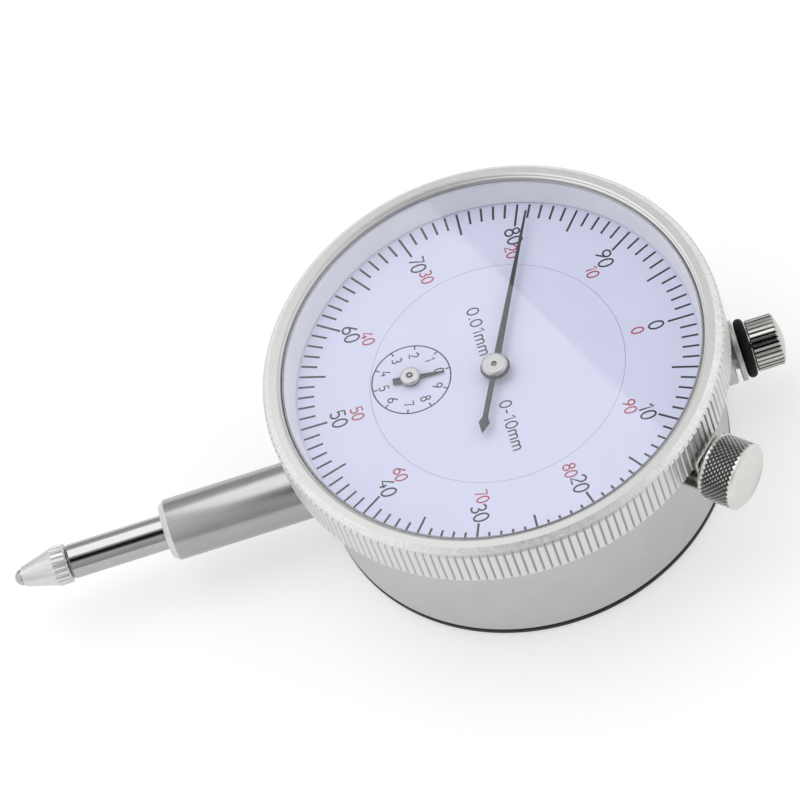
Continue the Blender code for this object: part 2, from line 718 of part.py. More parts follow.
def build_bezel(carrier):
    lip = DIAL_LEVEL + LIP_TOP
    groove = BEZEL_SLEEVE + GROOVE_DEPTH
    profile = [
        (LIP_INNER, lip),
        (LIP_OUTER, lip - LIP_FALL),
        (BEZEL_RADIUS, DIAL_LEVEL + BAND_TOP),
        (BEZEL_RADIUS, BEZEL_BOTTOM),
        (BEZEL_SLEEVE, BEZEL_BOTTOM),
        (BEZEL_SLEEVE, WIRE_LEVEL - GROOVE_HALF),
        (groove, WIRE_LEVEL - GROOVE_HALF),
        (groove, WIRE_LEVEL + GROOVE_HALF),
        (BEZEL_SLEEVE, WIRE_LEVEL + GROOVE_HALF),
        (BEZEL_SLEEVE, LAND_BOTTOM),
        (BEZEL_BORE - LAND_WIDTH, LAND_BOTTOM),
        (BEZEL_BORE - LAND_WIDTH, LAND_TOP),
        (BEZEL_BORE, LAND_TOP),
        (BEZEL_BORE, lip - BORE_CHAMFER_START),
        (BEZEL_BORE + BORE_CHAMFER, lip - BORE_CHAMFER_END),
    ]
    turned("bezel", profile, "machined_aluminium", WIDE_STEPS, carrier=carrier, ring=True)

    slope_top = REFLECTOR_BOTTOM + REFLECTOR_HEIGHT
    slope = [
        (RING_OUTER, slope_top),
        (RING_OUTER, REFLECTOR_BOTTOM),
        (RING_OUTER - REFLECTOR_WIDTH, REFLECTOR_BOTTOM),
        (RING_OUTER - REFLECTOR_TOP_WIDTH, slope_top),
    ]
    turned("reflector_ring", slope, "reflector_paint", WIDE_STEPS, carrier=carrier, ring=True)

    rod("crystal", RING_OUTER, CRYSTAL_BOTTOM, CRYSTAL_TOP, WIDE_STEPS, surface="clear_acrylic",
        carrier=carrier)
    ring_bottom = CRYSTAL_TOP + TOUCH
    sleeve("crystal_ring", RING_OUTER, RING_OUTER - SNAP_RING_WIDTH, ring_bottom,
           ring_bottom + SNAP_RING_HEIGHT, "polished_steel", WIDE_STEPS, carrier=carrier)
    sleeve("dial_ring", RING_OUTER, CENTER_DIAL_RADIUS + DIAL_SPLIT, DIAL_LEVEL - DIAL_RING_THICKNESS,
           DIAL_LEVEL, "dial_paint", WIDE_STEPS, carrier=carrier)


def build_bezel_wire():
    """The sprung wire that holds the bezel on: an open ring between two grooves."""
    radius = CASE_RADIUS + RUNNING / 2.0
    opening = math.radians(WIRE_OPENING)
    points = []
    for index in range(WIRE_POINTS):
        angle = opening / 2.0 + (TURN - opening) * index / (WIRE_POINTS - 1)
        points.append((radius * math.cos(angle), radius * math.sin(angle), 0.0))
    wire("bezel_wire", points, WIRE_RADIUS, "spring_steel", at=(0.0, 0.0, WIRE_LEVEL))


def build_dial_center():
    outlines = [
        circle_points(CENTER_DIAL_RADIUS, WIDE_STEPS),
        circle_points(MAIN_HUB_COLLAR + FIT, FINE_STEPS),
        circle_points(SMALL_HUB_COLLAR + FIT, FINE_STEPS, COUNTER_ARBOR),
    ]
    plate("dial_center", outlines, CENTER_DIAL_THICKNESS, "dial_paint",
          at=(0.0, 0.0, DIAL_LEVEL - CENTER_DIAL_THICKNESS / 2.0))


def rack_cutter():
    """The space beside the rack: a comb whose fingers cut the gaps between the teeth."""
    tip_half, root_half = tooth_widths()
    tip_x = -(RACK_LINE + MODULE * TOOTH_ADDENDUM)
    root_x = -(RACK_LINE - MODULE * TOOTH_DEDENDUM)
    reach = PINION_PITCH + MODULE * TOOTH_ADDENDUM + RUNNING
    gaps_down = math.ceil((TRAVEL + reach) / RACK_PITCH)
    gaps_up = math.ceil(reach / RACK_PITCH)
    outside = -SPINDLE_RADIUS - CUT_PAST
    outline = []
    for gap in range(-gaps_down, gaps_up + 1):
        middle = RACK_ARBOR.y + gap * RACK_PITCH
        outline.append((tip_x, middle - RACK_PITCH / 2.0 + tip_half))
        outline.append((root_x, middle - RACK_PITCH / 2.0 + root_half))
        outline.append((root_x, middle + RACK_PITCH / 2.0 - root_half))
        outline.append((tip_x, middle + RACK_PITCH / 2.0 - tip_half))
    outline.append((outside, outline[-1][1]))
    outline.append((outside, outline[0][1]))
    outline.reverse()
    return plate("rack_cutter", [outline], 2.0 * (SPINDLE_RADIUS + CUT_PAST), "brushed_steel",
                 at=(0.0, 0.0, SPINDLE_LEVEL))


def build_spindle(carrier):
    middle = (0.0, 0.0, SPINDLE_LEVEL)
    where = {"at": middle, "turn": ALONG_Y, "carrier": carrier}
    profile = [
        (0.0, WASHER_START + NECK_LENGTH),
        (NECK_RADIUS, WASHER_START + NECK_LENGTH),
        (NECK_RADIUS, WASHER_START),
        (SPINDLE_RADIUS, WASHER_START),
        (SPINDLE_RADIUS, SPINDLE_END),
        (STUD_RADIUS + FIT, SPINDLE_END),
        (STUD_RADIUS + FIT, SPINDLE_END + STUD_LENGTH),
        (0.0, SPINDLE_END + STUD_LENGTH),
    ]
    spindle = turned("spindle", profile, "polished_steel", **where)
    cut(spindle, rack_cutter())
    along_x = (0.0, math.pi / 2.0, 0.0)
    pin_at = (0.0, PIN_PLACE, SPINDLE_LEVEL)
    cut(spindle, rod("pin_hole", PIN_RADIUS + FIT, 0.0, SPINDLE_RADIUS + CUT_PAST, at=pin_at,
                      turn=along_x))
    pin_end = SPRING_SIDE + SPRING_WIRE_RADIUS + PIN_PAST_SPRING
    rod("guide_pin", PIN_RADIUS, FIT, pin_end, surface="brushed_steel", at=pin_at, turn=along_x,
        carrier=carrier)

    cone_end = COLLAR_TOP - COLLAR_LENGTH - CONE_LENGTH
    ball_middle = cone_end - BALL_SHOWING + BALL_RADIUS
    seat = BALL_RADIUS + TOUCH
    point = [
        (0.0, COLLAR_TOP + STUD_LENGTH - FIT),
        (STUD_RADIUS, COLLAR_TOP + STUD_LENGTH - FIT),
        (STUD_RADIUS, COLLAR_TOP),
        (COLLAR_RADIUS, COLLAR_TOP),
        (COLLAR_RADIUS, COLLAR_TOP - COLLAR_LENGTH),
        (COLLAR_RADIUS - COLLAR_CHAMFER, COLLAR_TOP - COLLAR_LENGTH - COLLAR_CHAMFER_LENGTH),
        (CONE_END_RADIUS, cone_end),
        (seat, cone_end),
        (seat, ball_middle + seat),
        (0.0, ball_middle + seat),
    ]
    turned("contact_point", point, "polished_steel", **where)

    mesh = bpy.data.meshes.new("contact_ball")
    shape = bmesh.new()
    bmesh.ops.create_uvsphere(shape, u_segments=16, v_segments=10, radius=BALL_RADIUS * MM)
    shape.to_mesh(mesh)
    shape.free()
    link_piece("contact_ball", mesh, "polished_steel", (0.0, ball_middle, SPINDLE_LEVEL), ALONG_Y, carrier)

    sleeve("cap_washer", WASHER_RADIUS, NECK_RADIUS + FIT, WASHER_START, WASHER_START + WASHER_THICKNESS,
           "bright_nickel", **where)
    ring_middle = ORING_OUTER - ORING_SECTION
    ring_level = ORING_START + ORING_SECTION
    section = [
        (ring_middle + ORING_SECTION * math.cos(angle), ring_level + ORING_SECTION * math.sin(angle))
        for angle in (TURN * (2 - side) / ORING_SIDES for side in range(ORING_SIDES))
    ]
    turned("cap_oring", section, "black_rubber", ring=True, **where)

    crown = CAP_START + CAP_KNURL
    hub = ring_middle - ORING_SECTION - FIT
    bore_end = WASHER_START + NECK_LENGTH + FIT
    cap = [
        (0.0, crown + CAP_CROWN),
        *((CAP_RADIUS * across, crown + CAP_CROWN * up) for across, up in CAP_DOME),
        (CAP_RADIUS, crown),
        (CAP_RADIUS, CAP_START),
        (hub, CAP_START),
        (hub, WASHER_START + WASHER_THICKNESS + FIT),
        (NECK_RADIUS + FIT, WASHER_START + WASHER_THICKNESS + FIT),
        (NECK_RADIUS + FIT, bore_end),
        (0.0, bore_end),
    ]
    turned("lift_cap", cap, "bright_nickel", **where)


def build_rack_pinion(carrier):
    bottom = PLATE_TOP - PIVOT_LENGTH
    top = FLOOR_BOTTOM + PIVOT_LENGTH
    profile = [
        (0.0, top),
        (PIVOT_RADIUS, top),
        (PIVOT_RADIUS, FLOOR_BOTTOM - FIT),
        (ARBOR_RADIUS, FLOOR_BOTTOM - FIT),
        (ARBOR_RADIUS, PLATE_TOP + FIT),
        (PIVOT_RADIUS, PLATE_TOP + FIT),
        (PIVOT_RADIUS, bottom),
        (0.0, bottom),
    ]
    arbor = turned("rack_pinion", profile, "brass", FINE_STEPS, at=(*RACK_ARBOR, 0.0), carrier=carrier)
    join(arbor, plate("rack_pinion_teeth", [gear_outline(PINION_TEETH, 0.0)], PINION_WIDTH, "brass",
                      at=(*RACK_ARBOR, SPINDLE_LEVEL)))
    wheel("first_wheel", RACK_ARBOR, heading(RACK_ARBOR, CENTER_ARBOR), carrier)


def wheel(name, centre, first_tooth, carrier):
    """A large brass wheel with round holes that make it light."""
    outlines = [
        gear_outline(WHEEL_TEETH, first_tooth),
        circle_points(ARBOR_RADIUS + FIT, FINE_STEPS),
    ]
    for index in range(WHEEL_HOLES):
        middle = around((0.0, 0.0), WHEEL_PITCH * WHEEL_HOLE_CIRCLE, 360.0 * index / WHEEL_HOLES)
        outlines.append(circle_points(WHEEL_HOLE_RADIUS, FINE_STEPS, middle))
    plate(name, outlines, WHEEL_THICKNESS, "brass", carrier=carrier,
          at=(*centre, WHEEL_LEVEL + WHEEL_THICKNESS / 2.0))


def center_pinion_tooth():
    """A gap of the centre pinion faces the first wheel's tooth, half a tooth round from it."""
    return heading(CENTER_ARBOR, RACK_ARBOR) + math.pi / CENTER_TEETH


def build_center(carrier):
    top = DIAL_LEVEL + MAIN_HUB_TOP - MAIN_ARBOR_SUNK
    profile = [
        (0.0, top),
        (ARBOR_RADIUS, top),
        (ARBOR_RADIUS, BRIDGE_TOP + FIT),
        (PIVOT_RADIUS, BRIDGE_TOP + FIT),
        (PIVOT_RADIUS, BRIDGE_TOP - PIVOT_LENGTH),
        (0.0, BRIDGE_TOP - PIVOT_LENGTH),
    ]
    arbor = turned("center_pinion", profile, "brushed_steel", FINE_STEPS, carrier=carrier)
    teeth = gear_outline(CENTER_TEETH, center_pinion_tooth())
    level = WHEEL_LEVEL + WHEEL_THICKNESS / 2.0
    join(arbor, plate("center_teeth", [teeth], CENTER_PINION_WIDTH, "brushed_steel", at=(0.0, 0.0, level)))

    disc_top = DIAL_LEVEL + MAIN_HUB_TOP
    disc_bottom = disc_top - MAIN_HUB_DISC
    collar_bottom = DIAL_LEVEL + MAIN_HUB_START
    hub = [
        (MAIN_HUB_RADIUS - MAIN_HUB_CHAMFER, disc_top),
        (MAIN_HUB_RADIUS, disc_top - MAIN_HUB_CHAMFER),
        (MAIN_HUB_RADIUS, disc_bottom),
        (MAIN_HUB_COLLAR, disc_bottom),
        (MAIN_HUB_COLLAR, collar_bottom),
        (ARBOR_RADIUS + FIT, collar_bottom),
        (ARBOR_RADIUS + FIT, top + TOUCH),
        (PIVOT_RADIUS, top + TOUCH),
        (PIVOT_RADIUS, disc_top),
    ]
    turned("main_hand_hub", hub, "bright_nickel", FINE_STEPS, carrier=carrier, ring=True)
    level = disc_bottom - TOUCH - HAND_THICKNESS / 2.0
    half = [
        (MAIN_HAND_TIP / 2.0, MAIN_HAND_LENGTH),
        *hub_arc(HAND_DISC_RADIUS, MAIN_HAND_ROOT / 2.0, MAIN_TAIL_WIDTH / 2.0),
        (MAIN_TAIL_WIDTH / 2.0, -MAIN_HAND_TAIL + KITE_START),
        (KITE_WIDTH / 2.0, -MAIN_HAND_TAIL + KITE_MIDDLE),
        (KITE_POINT / 2.0, -MAIN_HAND_TAIL),
    ]
    hand("main_hand", half, MAIN_HUB_COLLAR + FIT, (0.0, 0.0, level), MAIN_HAND_ANGLE, carrier)


def hub_arc(radius, upper_half, lower_half, steps=6):
    """The right side of a hand's disc, between its pointer and its tail."""
    start = math.acos(upper_half / radius)
    end = -math.acos(lower_half / radius)
    angles = [start + (end - start) * step / steps for step in range(steps + 1)]
    return [(radius * math.cos(a), radius * math.sin(a)) for a in angles]


def hand(name, half, hole, at, clockwise, carrier):
    """A flat hand from the right half of its outline, tip first, turned to its reading."""
    other_half = [(-x, y) for x, y in reversed(half)]
    plate(name, [half + other_half, circle_points(hole, FINE_STEPS)], HAND_THICKNESS, "blued_steel",
          at=at, turn=(0.0, 0.0, -math.radians(clockwise)), carrier=carrier)


def build_counter(carrier):
    top = DIAL_LEVEL + SMALL_HUB_TOP
    profile = [
        (0.0, top),
        (ARBOR_RADIUS, top),
        (ARBOR_RADIUS, BRIDGE_TOP + FIT),
        (PIVOT_RADIUS, BRIDGE_TOP + FIT),
        (PIVOT_RADIUS, BRIDGE_TOP - PIVOT_LENGTH),
        (0.0, BRIDGE_TOP - PIVOT_LENGTH),
    ]
    where = {"at": (*COUNTER_ARBOR, 0.0), "carrier": carrier}
    turned("counter_arbor", profile, "brushed_steel", FINE_STEPS, **where)
    to_counter = heading(CENTER_ARBOR, COUNTER_ARBOR)
    step = TURN / CENTER_TEETH
    past_line = (center_pinion_tooth() - to_counter) % step
    gap = to_counter + math.pi - past_line * CENTER_TEETH / WHEEL_TEETH
    wheel("counter_wheel", COUNTER_ARBOR, gap + math.pi / WHEEL_TEETH, carrier)

    sleeve("hairspring_collet", COLLET_RADIUS, ARBOR_RADIUS + FIT, collet_bottom(),
           collet_bottom() + COLLET_HEIGHT, "brass", FINE_STEPS, **where)

    disc_top = DIAL_LEVEL + SMALL_HUB_TOP - TOUCH
    disc_bottom = disc_top - SMALL_HUB_DISC
    hub = [
        (SMALL_HUB_RADIUS - SMALL_HUB_CHAMFER, disc_top),
        (SMALL_HUB_RADIUS, disc_top - SMALL_HUB_CHAMFER),
        (SMALL_HUB_RADIUS, disc_bottom),
        (SMALL_HUB_COLLAR, disc_bottom),
        (SMALL_HUB_COLLAR, DIAL_LEVEL + SMALL_HUB_START),
        (ARBOR_RADIUS + SMALL_ARBOR_FIT, DIAL_LEVEL + SMALL_HUB_START),
        (ARBOR_RADIUS + SMALL_ARBOR_FIT, disc_top),
    ]
    turned("small_hand_hub", hub, "bright_nickel", FINE_STEPS, ring=True, **where)
    level = disc_bottom - TOUCH - HAND_THICKNESS / 2.0
    half = [
        (SMALL_HAND_TIP / 2.0, SMALL_HAND_LENGTH),
        *hub_arc(SMALL_DISC_RADIUS, SMALL_HAND_ROOT / 2.0, SMALL_TAIL_WIDTH / 2.0),
        (SMALL_TAIL_WIDTH / 2.0, -SMALL_HAND_TAIL),
    ]
    hand("small_hand", half, SMALL_HUB_COLLAR + TOUCH, (*COUNTER_ARBOR, level), SMALL_HAND_ANGLE, carrier)


def collet_bottom():
    return BRIDGE_TOP + COLLET_ABOVE_BRIDGE


def build_hairspring():
    """A flat spiral strip from the collet out to a stud on the bridge."""
    points = HAIRSPRING_TURNS * HAIRSPRING_STEPS
    growth = (HAIRSPRING_OUTER - HAIRSPRING_INNER) / points
    sides = []
    for offset in (HAIRSPRING_STRIP / 2.0, -HAIRSPRING_STRIP / 2.0):
        side = []
        for index in range(points + 1):
            angle = TURN * index / HAIRSPRING_STEPS
            radius = HAIRSPRING_INNER + growth * index + offset
            side.append((radius * math.cos(angle), radius * math.sin(angle)))
        sides.append(side)
    outline = sides[0] + sides[1][::-1]
    level = collet_bottom() + COLLET_HEIGHT / 2.0
    plate("hairspring", [outline], HAIRSPRING_HEIGHT, "spring_steel", at=(*COUNTER_ARBOR, level))
    stud_at = COUNTER_ARBOR + Vector((HAIRSPRING_OUTER + HAIRSPRING_STRIP + STUD_PIN_RADIUS + TOUCH, 0.0))
    rod("hairspring_stud", STUD_PIN_RADIUS, BRIDGE_TOP + FIT, collet_bottom() + COLLET_HEIGHT,
        surface="brass", at=(*stud_at, 0.0))


def bridge_pillar_places():
    """Each pillar stands beside a wheel, and the second one's screw passes the rail as well."""
    arbors = (RACK_ARBOR, COUNTER_ARBOR, COUNTER_ARBOR)
    places = [beside_wheel(arbor, angle) for arbor, angle in zip(arbors, BRIDGE_PILLAR_ANGLES)]
    places[1].x = max(places[1].x, RAIL_INNER + RAIL_WEB + SMALL_SCREW["head"] + RUNNING)
    return places


def rail_screw_places():
    middle_x = RAIL_INNER + RAIL_WEB + RAIL_FLANGE * RAIL_SCREW_SHARE
    first = rail_flange_top() - SMALL_SCREW["head"] - FIT
    return [Vector((middle_x, first)), Vector((middle_x, first - RAIL_SCREW_SPACING - FIT))]


def rail_flange_top():
    """The rail's flange stops short of the bridge screw above it."""
    return bridge_pillar_places()[1].y - SMALL_SCREW["head"] - RUNNING


def build_bridge():
    """The plate over the spindle that carries the rear pivots of the two dial arbors."""
    pillars = bridge_pillar_places()
    corners = [pillars[0], COUNTER_ARBOR, pillars[2], pillars[1], CENTER_ARBOR]
    arbors = (CENTER_ARBOR, COUNTER_ARBOR)
    holes = [circle_points(PIVOT_RADIUS + FIT, FINE_STEPS, centre) for centre in arbors]
    for centre in pillars + rail_screw_places():
        holes.append(circle_points(SMALL_SCREW["shank"] + FIT, FINE_STEPS, centre))
    plate("center_bridge", [rounded_hull(corners, PLATE_MARGIN)] + holes, PLATE_THICKNESS, "brass",
          at=(0.0, 0.0, (BRIDGE_BOTTOM + BRIDGE_TOP) / 2.0))
    pillar_set("bridge", pillars, BRIDGE_BOTTOM, BRIDGE_TOP)


def pillar_set(name, places, plate_bottom, plate_top):
    """Pillars from a plate up to the case floor, each with its screw from behind."""
    thread = SMALL_SCREW["shank"] + FIT
    for number, (x, y) in enumerate(places, start=1):
        bottom = plate_top + FIT
        top = FLOOR_BOTTOM - FIT
        thread_end = bottom + PILLAR_THREAD_DEPTH
        profile = [
            (0.0, top),
            (PILLAR_RADIUS, top),
            (PILLAR_RADIUS, bottom),
            (thread, bottom),
            (thread, thread_end),
            (0.0, thread_end),
        ]
        turned(f"{name}_pillar_{number}", profile, "brass", FINE_STEPS, at=(x, y, 0.0))
        head_at = plate_bottom - TOUCH - SMALL_SCREW["head_height"]
        slotted_screw(f"{name}_screw_{number}", SMALL_SCREW, (x, y, head_at),
                      PLATE_THICKNESS + SCREW_REACH, "brushed_steel")


def build_movement_plate():
    """The rear plate that carries the rack pinion's lower pivot."""
    pillars = [beside_wheel(RACK_ARBOR, angle) for angle in PLATE_PILLAR_ANGLES]
    holes = [circle_points(PIVOT_RADIUS + FIT, FINE_STEPS, RACK_ARBOR)]
    for centre in pillars:
        holes.append(circle_points(SMALL_SCREW["shank"] + FIT, FINE_STEPS, centre))
    plate("movement_plate", [rounded_hull(pillars, PLATE_MARGIN)] + holes, PLATE_THICKNESS, "brass",
          at=(0.0, 0.0, (PLATE_BOTTOM + PLATE_TOP) / 2.0))
    pillar_set("plate", pillars, PLATE_BOTTOM, PLATE_TOP)


def build_bushes():
    for name, centre in (("center_bush", CENTER_ARBOR), ("counter_bush", COUNTER_ARBOR)):
        sleeve(name, bush_hole() - FIT, ARBOR_RADIUS + FIT, FLOOR_BOTTOM - FIT,
               FLOOR_BOTTOM - FIT + BUSH_LENGTH, "brass", FINE_STEPS, at=(*centre, 0.0))


def build_guide_rail():
    """An angle bracket under the bridge whose slot keeps the spindle from turning."""
    top = BRIDGE_BOTTOM - FIT
    web_end = RAIL_INNER + RAIL_WEB
    bottom = SPINDLE_LEVEL - RAIL_DROP
    low_y = rail_screw_places()[1].y - SMALL_SCREW["head"] - FIT
    low_y = min(low_y, PIN_PLACE - RAIL_END - PIN_RADIUS)
    high_y = PIN_PLACE + TRAVEL + RAIL_END + PIN_RADIUS
    rail = block("guide_rail", (RAIL_INNER, low_y, bottom), (web_end, high_y, top), "brushed_steel")
    join(rail, block("rail_flange", (web_end - JOIN_INTO, low_y, top - RAIL_FLANGE_THICKNESS),
                     (web_end + RAIL_FLANGE, rail_flange_top(), top)))
    slot_half = PIN_RADIUS + FIT
    cut(rail, block("rail_slot", (RAIL_INNER - CUT_PAST, PIN_PLACE - slot_half, SPINDLE_LEVEL - slot_half),
                    (web_end + CUT_PAST, PIN_PLACE + TRAVEL + slot_half, SPINDLE_LEVEL + slot_half)))
    for number, (x, y) in enumerate(rail_screw_places(), start=1):
        cut(rail, rod(f"rail_hole_{number}", SMALL_SCREW["shank"] + FIT,
                      top - RAIL_FLANGE_THICKNESS - CUT_PAST, top + CUT_PAST, at=(x, y, 0.0)))
        head_at = top - RAIL_FLANGE_THICKNESS - HEAD_GAP - SMALL_SCREW["head_height"]
        slotted_screw(f"rail_screw_{number}", SMALL_SCREW, (x, y, head_at), RAIL_SCREW_REACH,
                      "brushed_steel")


def build_return_spring():
    """A tension spring from the post to the guide pin, with a hook at each end."""
    hook = POST_RADIUS + SPRING_WIRE_RADIUS + TOUCH
    pin_hook = PIN_RADIUS + SPRING_WIRE_RADIUS + TOUCH
    post = post_place()
    coil_start = post.y + HOOK_TO_COIL
    coil_end = PIN_PLACE - HOOK_TO_COIL
    points = []
    for step in range(HOOK_STEPS):
        angle = math.radians(90.0 - HOOK_SWEEP + HOOK_SWEEP * step / (HOOK_STEPS - 1))
        points.append((hook * math.cos(angle), post.y + hook * math.sin(angle), 0.0))
    for step in range(SPRING_TURNS * SPRING_STEPS + 1):
        angle = TURN * step / SPRING_STEPS
        along = coil_start + (coil_end - coil_start) * step / (SPRING_TURNS * SPRING_STEPS)
        points.append((SPRING_COIL_RADIUS * math.sin(angle), along, SPRING_COIL_RADIUS * math.cos(angle)))
    for step in range(HOOK_STEPS):
        angle = math.radians(-90.0 + HOOK_SWEEP * step / (HOOK_STEPS - 1))
        points.append((0.0, PIN_PLACE + pin_hook * math.sin(angle), pin_hook * math.cos(angle)))
    wire("return_spring", points, SPRING_WIRE_RADIUS, "spring_steel", at=(SPRING_SIDE, 0.0, SPINDLE_LEVEL))
    rod("spring_post", POST_RADIUS, SPINDLE_LEVEL - POST_BELOW_SPINDLE, FLOOR_TOP - FIT,
        surface="brushed_steel", at=(*post, 0.0))


def build_clamp(carrier):
    face = KNOB_INNER + KNOB_LENGTH
    tip = CASE_INNER + FIT
    profile = [
        (0.0, face),
        (KNOB_RADIUS - KNOB_FACE, face),
        (KNOB_RADIUS, face - KNOB_FACE),
        (KNOB_RADIUS, KNOB_INNER + KNOB_CHAMFER),
        (KNOB_RADIUS - KNOB_CHAMFER, KNOB_INNER),
        (CLAMP_SHANK, KNOB_INNER),
        (CLAMP_SHANK, tip),
        (0.0, tip),
    ]
    turned("clamp_screw", profile, "bright_nickel", at=(0.0, 0.0, CLAMP_LEVEL), turn=OUT_OF_CLAMP,
           carrier=carrier)

    foot_inner = CASE_RADIUS + FIT
    outer = CLAW_INNER + CLAW_THICKNESS
    bottom = -CLAW_FOOT
    outline = [
        (foot_inner, bottom),
        (outer, bottom),
        (outer, CLAW_REACH),
        (CLAW_INNER, CLAW_REACH),
        (CLAW_INNER, bottom + CLAW_THICKNESS),
        (foot_inner, bottom + CLAW_THICKNESS),
    ]
    claw = plate("clamp_claw", [outline], CLAW_WIDTH, "bright_nickel", at=(0.0, 0.0, CLAMP_LEVEL),
                 turn=(math.pi / 2.0, 0.0, CLAMP_TURN))
    cut(claw, rod("claw_hole", CLAMP_SHANK + FIT, CASE_RADIUS, KNOB_INNER + CUT_PAST,
                  at=(0.0, 0.0, CLAMP_LEVEL), turn=OUT_OF_CLAMP))


def finish_pieces():
    """Fixes each piece's modifiers in its mesh and shades it smooth up to its sharp edges."""
    pieces = [piece for piece in parts.objects if piece.type == "MESH"]
    meshes = [evaluated_mesh(piece) for piece in pieces]
    for piece, mesh in zip(pieces, meshes):
        piece.modifiers.clear()
        piece.data = mesh
        mesh.name = piece.name
        mesh.shade_smooth()
        mesh.set_sharp_from_angle(angle=math.radians(SHARP_ANGLE))


clear_scene()
parts = new_collection("dial_indicator")
cutters = new_collection("dial_indicator_cutters")

bezel_axis = joint_axis("bezel_axis", 0.0, 0.0, DIAL_LEVEL)
spindle_axis = joint_axis("spindle_axis", 0.0, 0.0, SPINDLE_LEVEL)
rack_axis = joint_axis("rack_pinion_axis", *RACK_ARBOR, WHEEL_LEVEL)
center_axis = joint_axis("center_axis", 0.0, 0.0, WHEEL_LEVEL)
counter_axis = joint_axis("counter_axis", *COUNTER_ARBOR, WHEEL_LEVEL)
clamp_axis = joint_axis("clamp_axis", 0.0, 0.0, CLAMP_LEVEL)

build_case()
build_back()
build_stem()
build_bezel(bezel_axis)
build_bezel_wire()
build_dial_center()
build_bushes()
build_bridge()
build_movement_plate()
build_guide_rail()
build_return_spring()
build_hairspring()
build_spindle(spindle_axis)
build_rack_pinion(rack_axis)
build_center(center_axis)
build_counter(counter_axis)
build_clamp(clamp_axis)
finish_pieces()
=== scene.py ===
"""Looks of the plunger dial indicator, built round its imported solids.

Sizes are in millimetres, as on a drawing, and MM turns them into metres. The dial's axis is Z
and the spindle runs along Y, SPINDLE_LEVEL above the flat back.
"""
import json
import math

import bmesh
import bpy
from mathutils import Matrix, Vector


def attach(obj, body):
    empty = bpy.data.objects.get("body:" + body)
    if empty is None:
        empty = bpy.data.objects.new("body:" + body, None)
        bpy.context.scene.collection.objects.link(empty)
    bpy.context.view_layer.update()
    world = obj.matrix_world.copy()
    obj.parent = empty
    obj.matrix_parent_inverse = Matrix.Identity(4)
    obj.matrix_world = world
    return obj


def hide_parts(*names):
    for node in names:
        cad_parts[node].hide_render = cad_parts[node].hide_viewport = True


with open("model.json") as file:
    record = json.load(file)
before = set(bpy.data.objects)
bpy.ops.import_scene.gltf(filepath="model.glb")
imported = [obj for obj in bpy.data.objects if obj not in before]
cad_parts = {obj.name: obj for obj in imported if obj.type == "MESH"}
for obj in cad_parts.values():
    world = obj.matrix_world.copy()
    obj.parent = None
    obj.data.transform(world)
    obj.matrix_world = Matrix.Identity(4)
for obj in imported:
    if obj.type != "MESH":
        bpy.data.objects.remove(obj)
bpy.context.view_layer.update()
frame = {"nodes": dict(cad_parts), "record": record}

MM = 0.001
TURN = 2.0 * math.pi
JOIN = 0.001 * MM                          # corners nearer than this are one corner
DIAL_LEVEL = 19.86
SPINDLE_LEVEL = 8.56
CLAMP_LEVEL = 16.16
CLAMP_ANGLE = math.radians(43.0)          # clockwise from twelve o'clock
SCALE_TURN = math.radians(1.36)           # the scale stands this far past twelve o'clock
COUNTER_ARBOR = Vector((-2.8873, -10.5541))    # where the wheels carry the small hand
UNLIT_SIDE = (0.47, 0.02, 0.88)            # a dark gap in the studio's ceiling
# The groove marks also say where the metals' painted shade goes.
GROOVE = "groove"                          # how deep in a groove a corner stands, 0 to 1
ON_SPINDLE = Matrix.Translation((0.0, 0.0, SPINDLE_LEVEL * MM)) @ Matrix.Rotation(-TURN / 4.0, 4, "X")
ON_CLAMP = (
    Matrix.Translation((0.0, 0.0, CLAMP_LEVEL * MM))
    @ Matrix.Rotation(TURN / 4.0 - CLAMP_ANGLE, 4, "Z")
    @ Matrix.Rotation(TURN / 4.0, 4, "Y")
)
ON_COUNTER = Matrix.Translation((*(COUNTER_ARBOR * MM), 0.0))


# ---------------------------------------------------------------- materials

def linear(code):
    """An sRGB hex colour as linear red, green, blue and full opacity."""
    channels = [int(code[index:index + 2], 16) / 255.0 for index in (1, 3, 5)]
    curve = [c / 12.92 if c <= 0.04045 else ((c + 0.055) / 1.055) ** 2.4 for c in channels]
    return (*curve, 1.0)


def add(tree, kind, settings=(), links=()):
    """Adds a shader node, with its settings and the outputs that feed it."""
    made = tree.nodes.new("ShaderNode" + kind)
    for key, value in dict(settings).items():
        if key == "stops":
            ramp = made.color_ramp.elements
            while len(ramp) < len(value):
                ramp.new(0.5)
            for stop, (place, code) in zip(ramp, value):
                stop.position = place
                stop.color = linear(code)
        elif isinstance(key, str) and hasattr(made, key):
            setattr(made, key, value)
        else:
            made.inputs[key].default_value = value
    for key, source in dict(links).items():
        tree.links.new(source, made.inputs[key])
    return made


def new_surface(name):
    """A material with one Principled shader, and its place on the object in metres."""
    made = bpy.data.materials.new(name)
    made.use_nodes = True
    tree = made.node_tree
    shader = tree.nodes["Principled BSDF"]
    place = add(tree, "TexCoord").outputs["Object"]
    return made, tree, shader, place


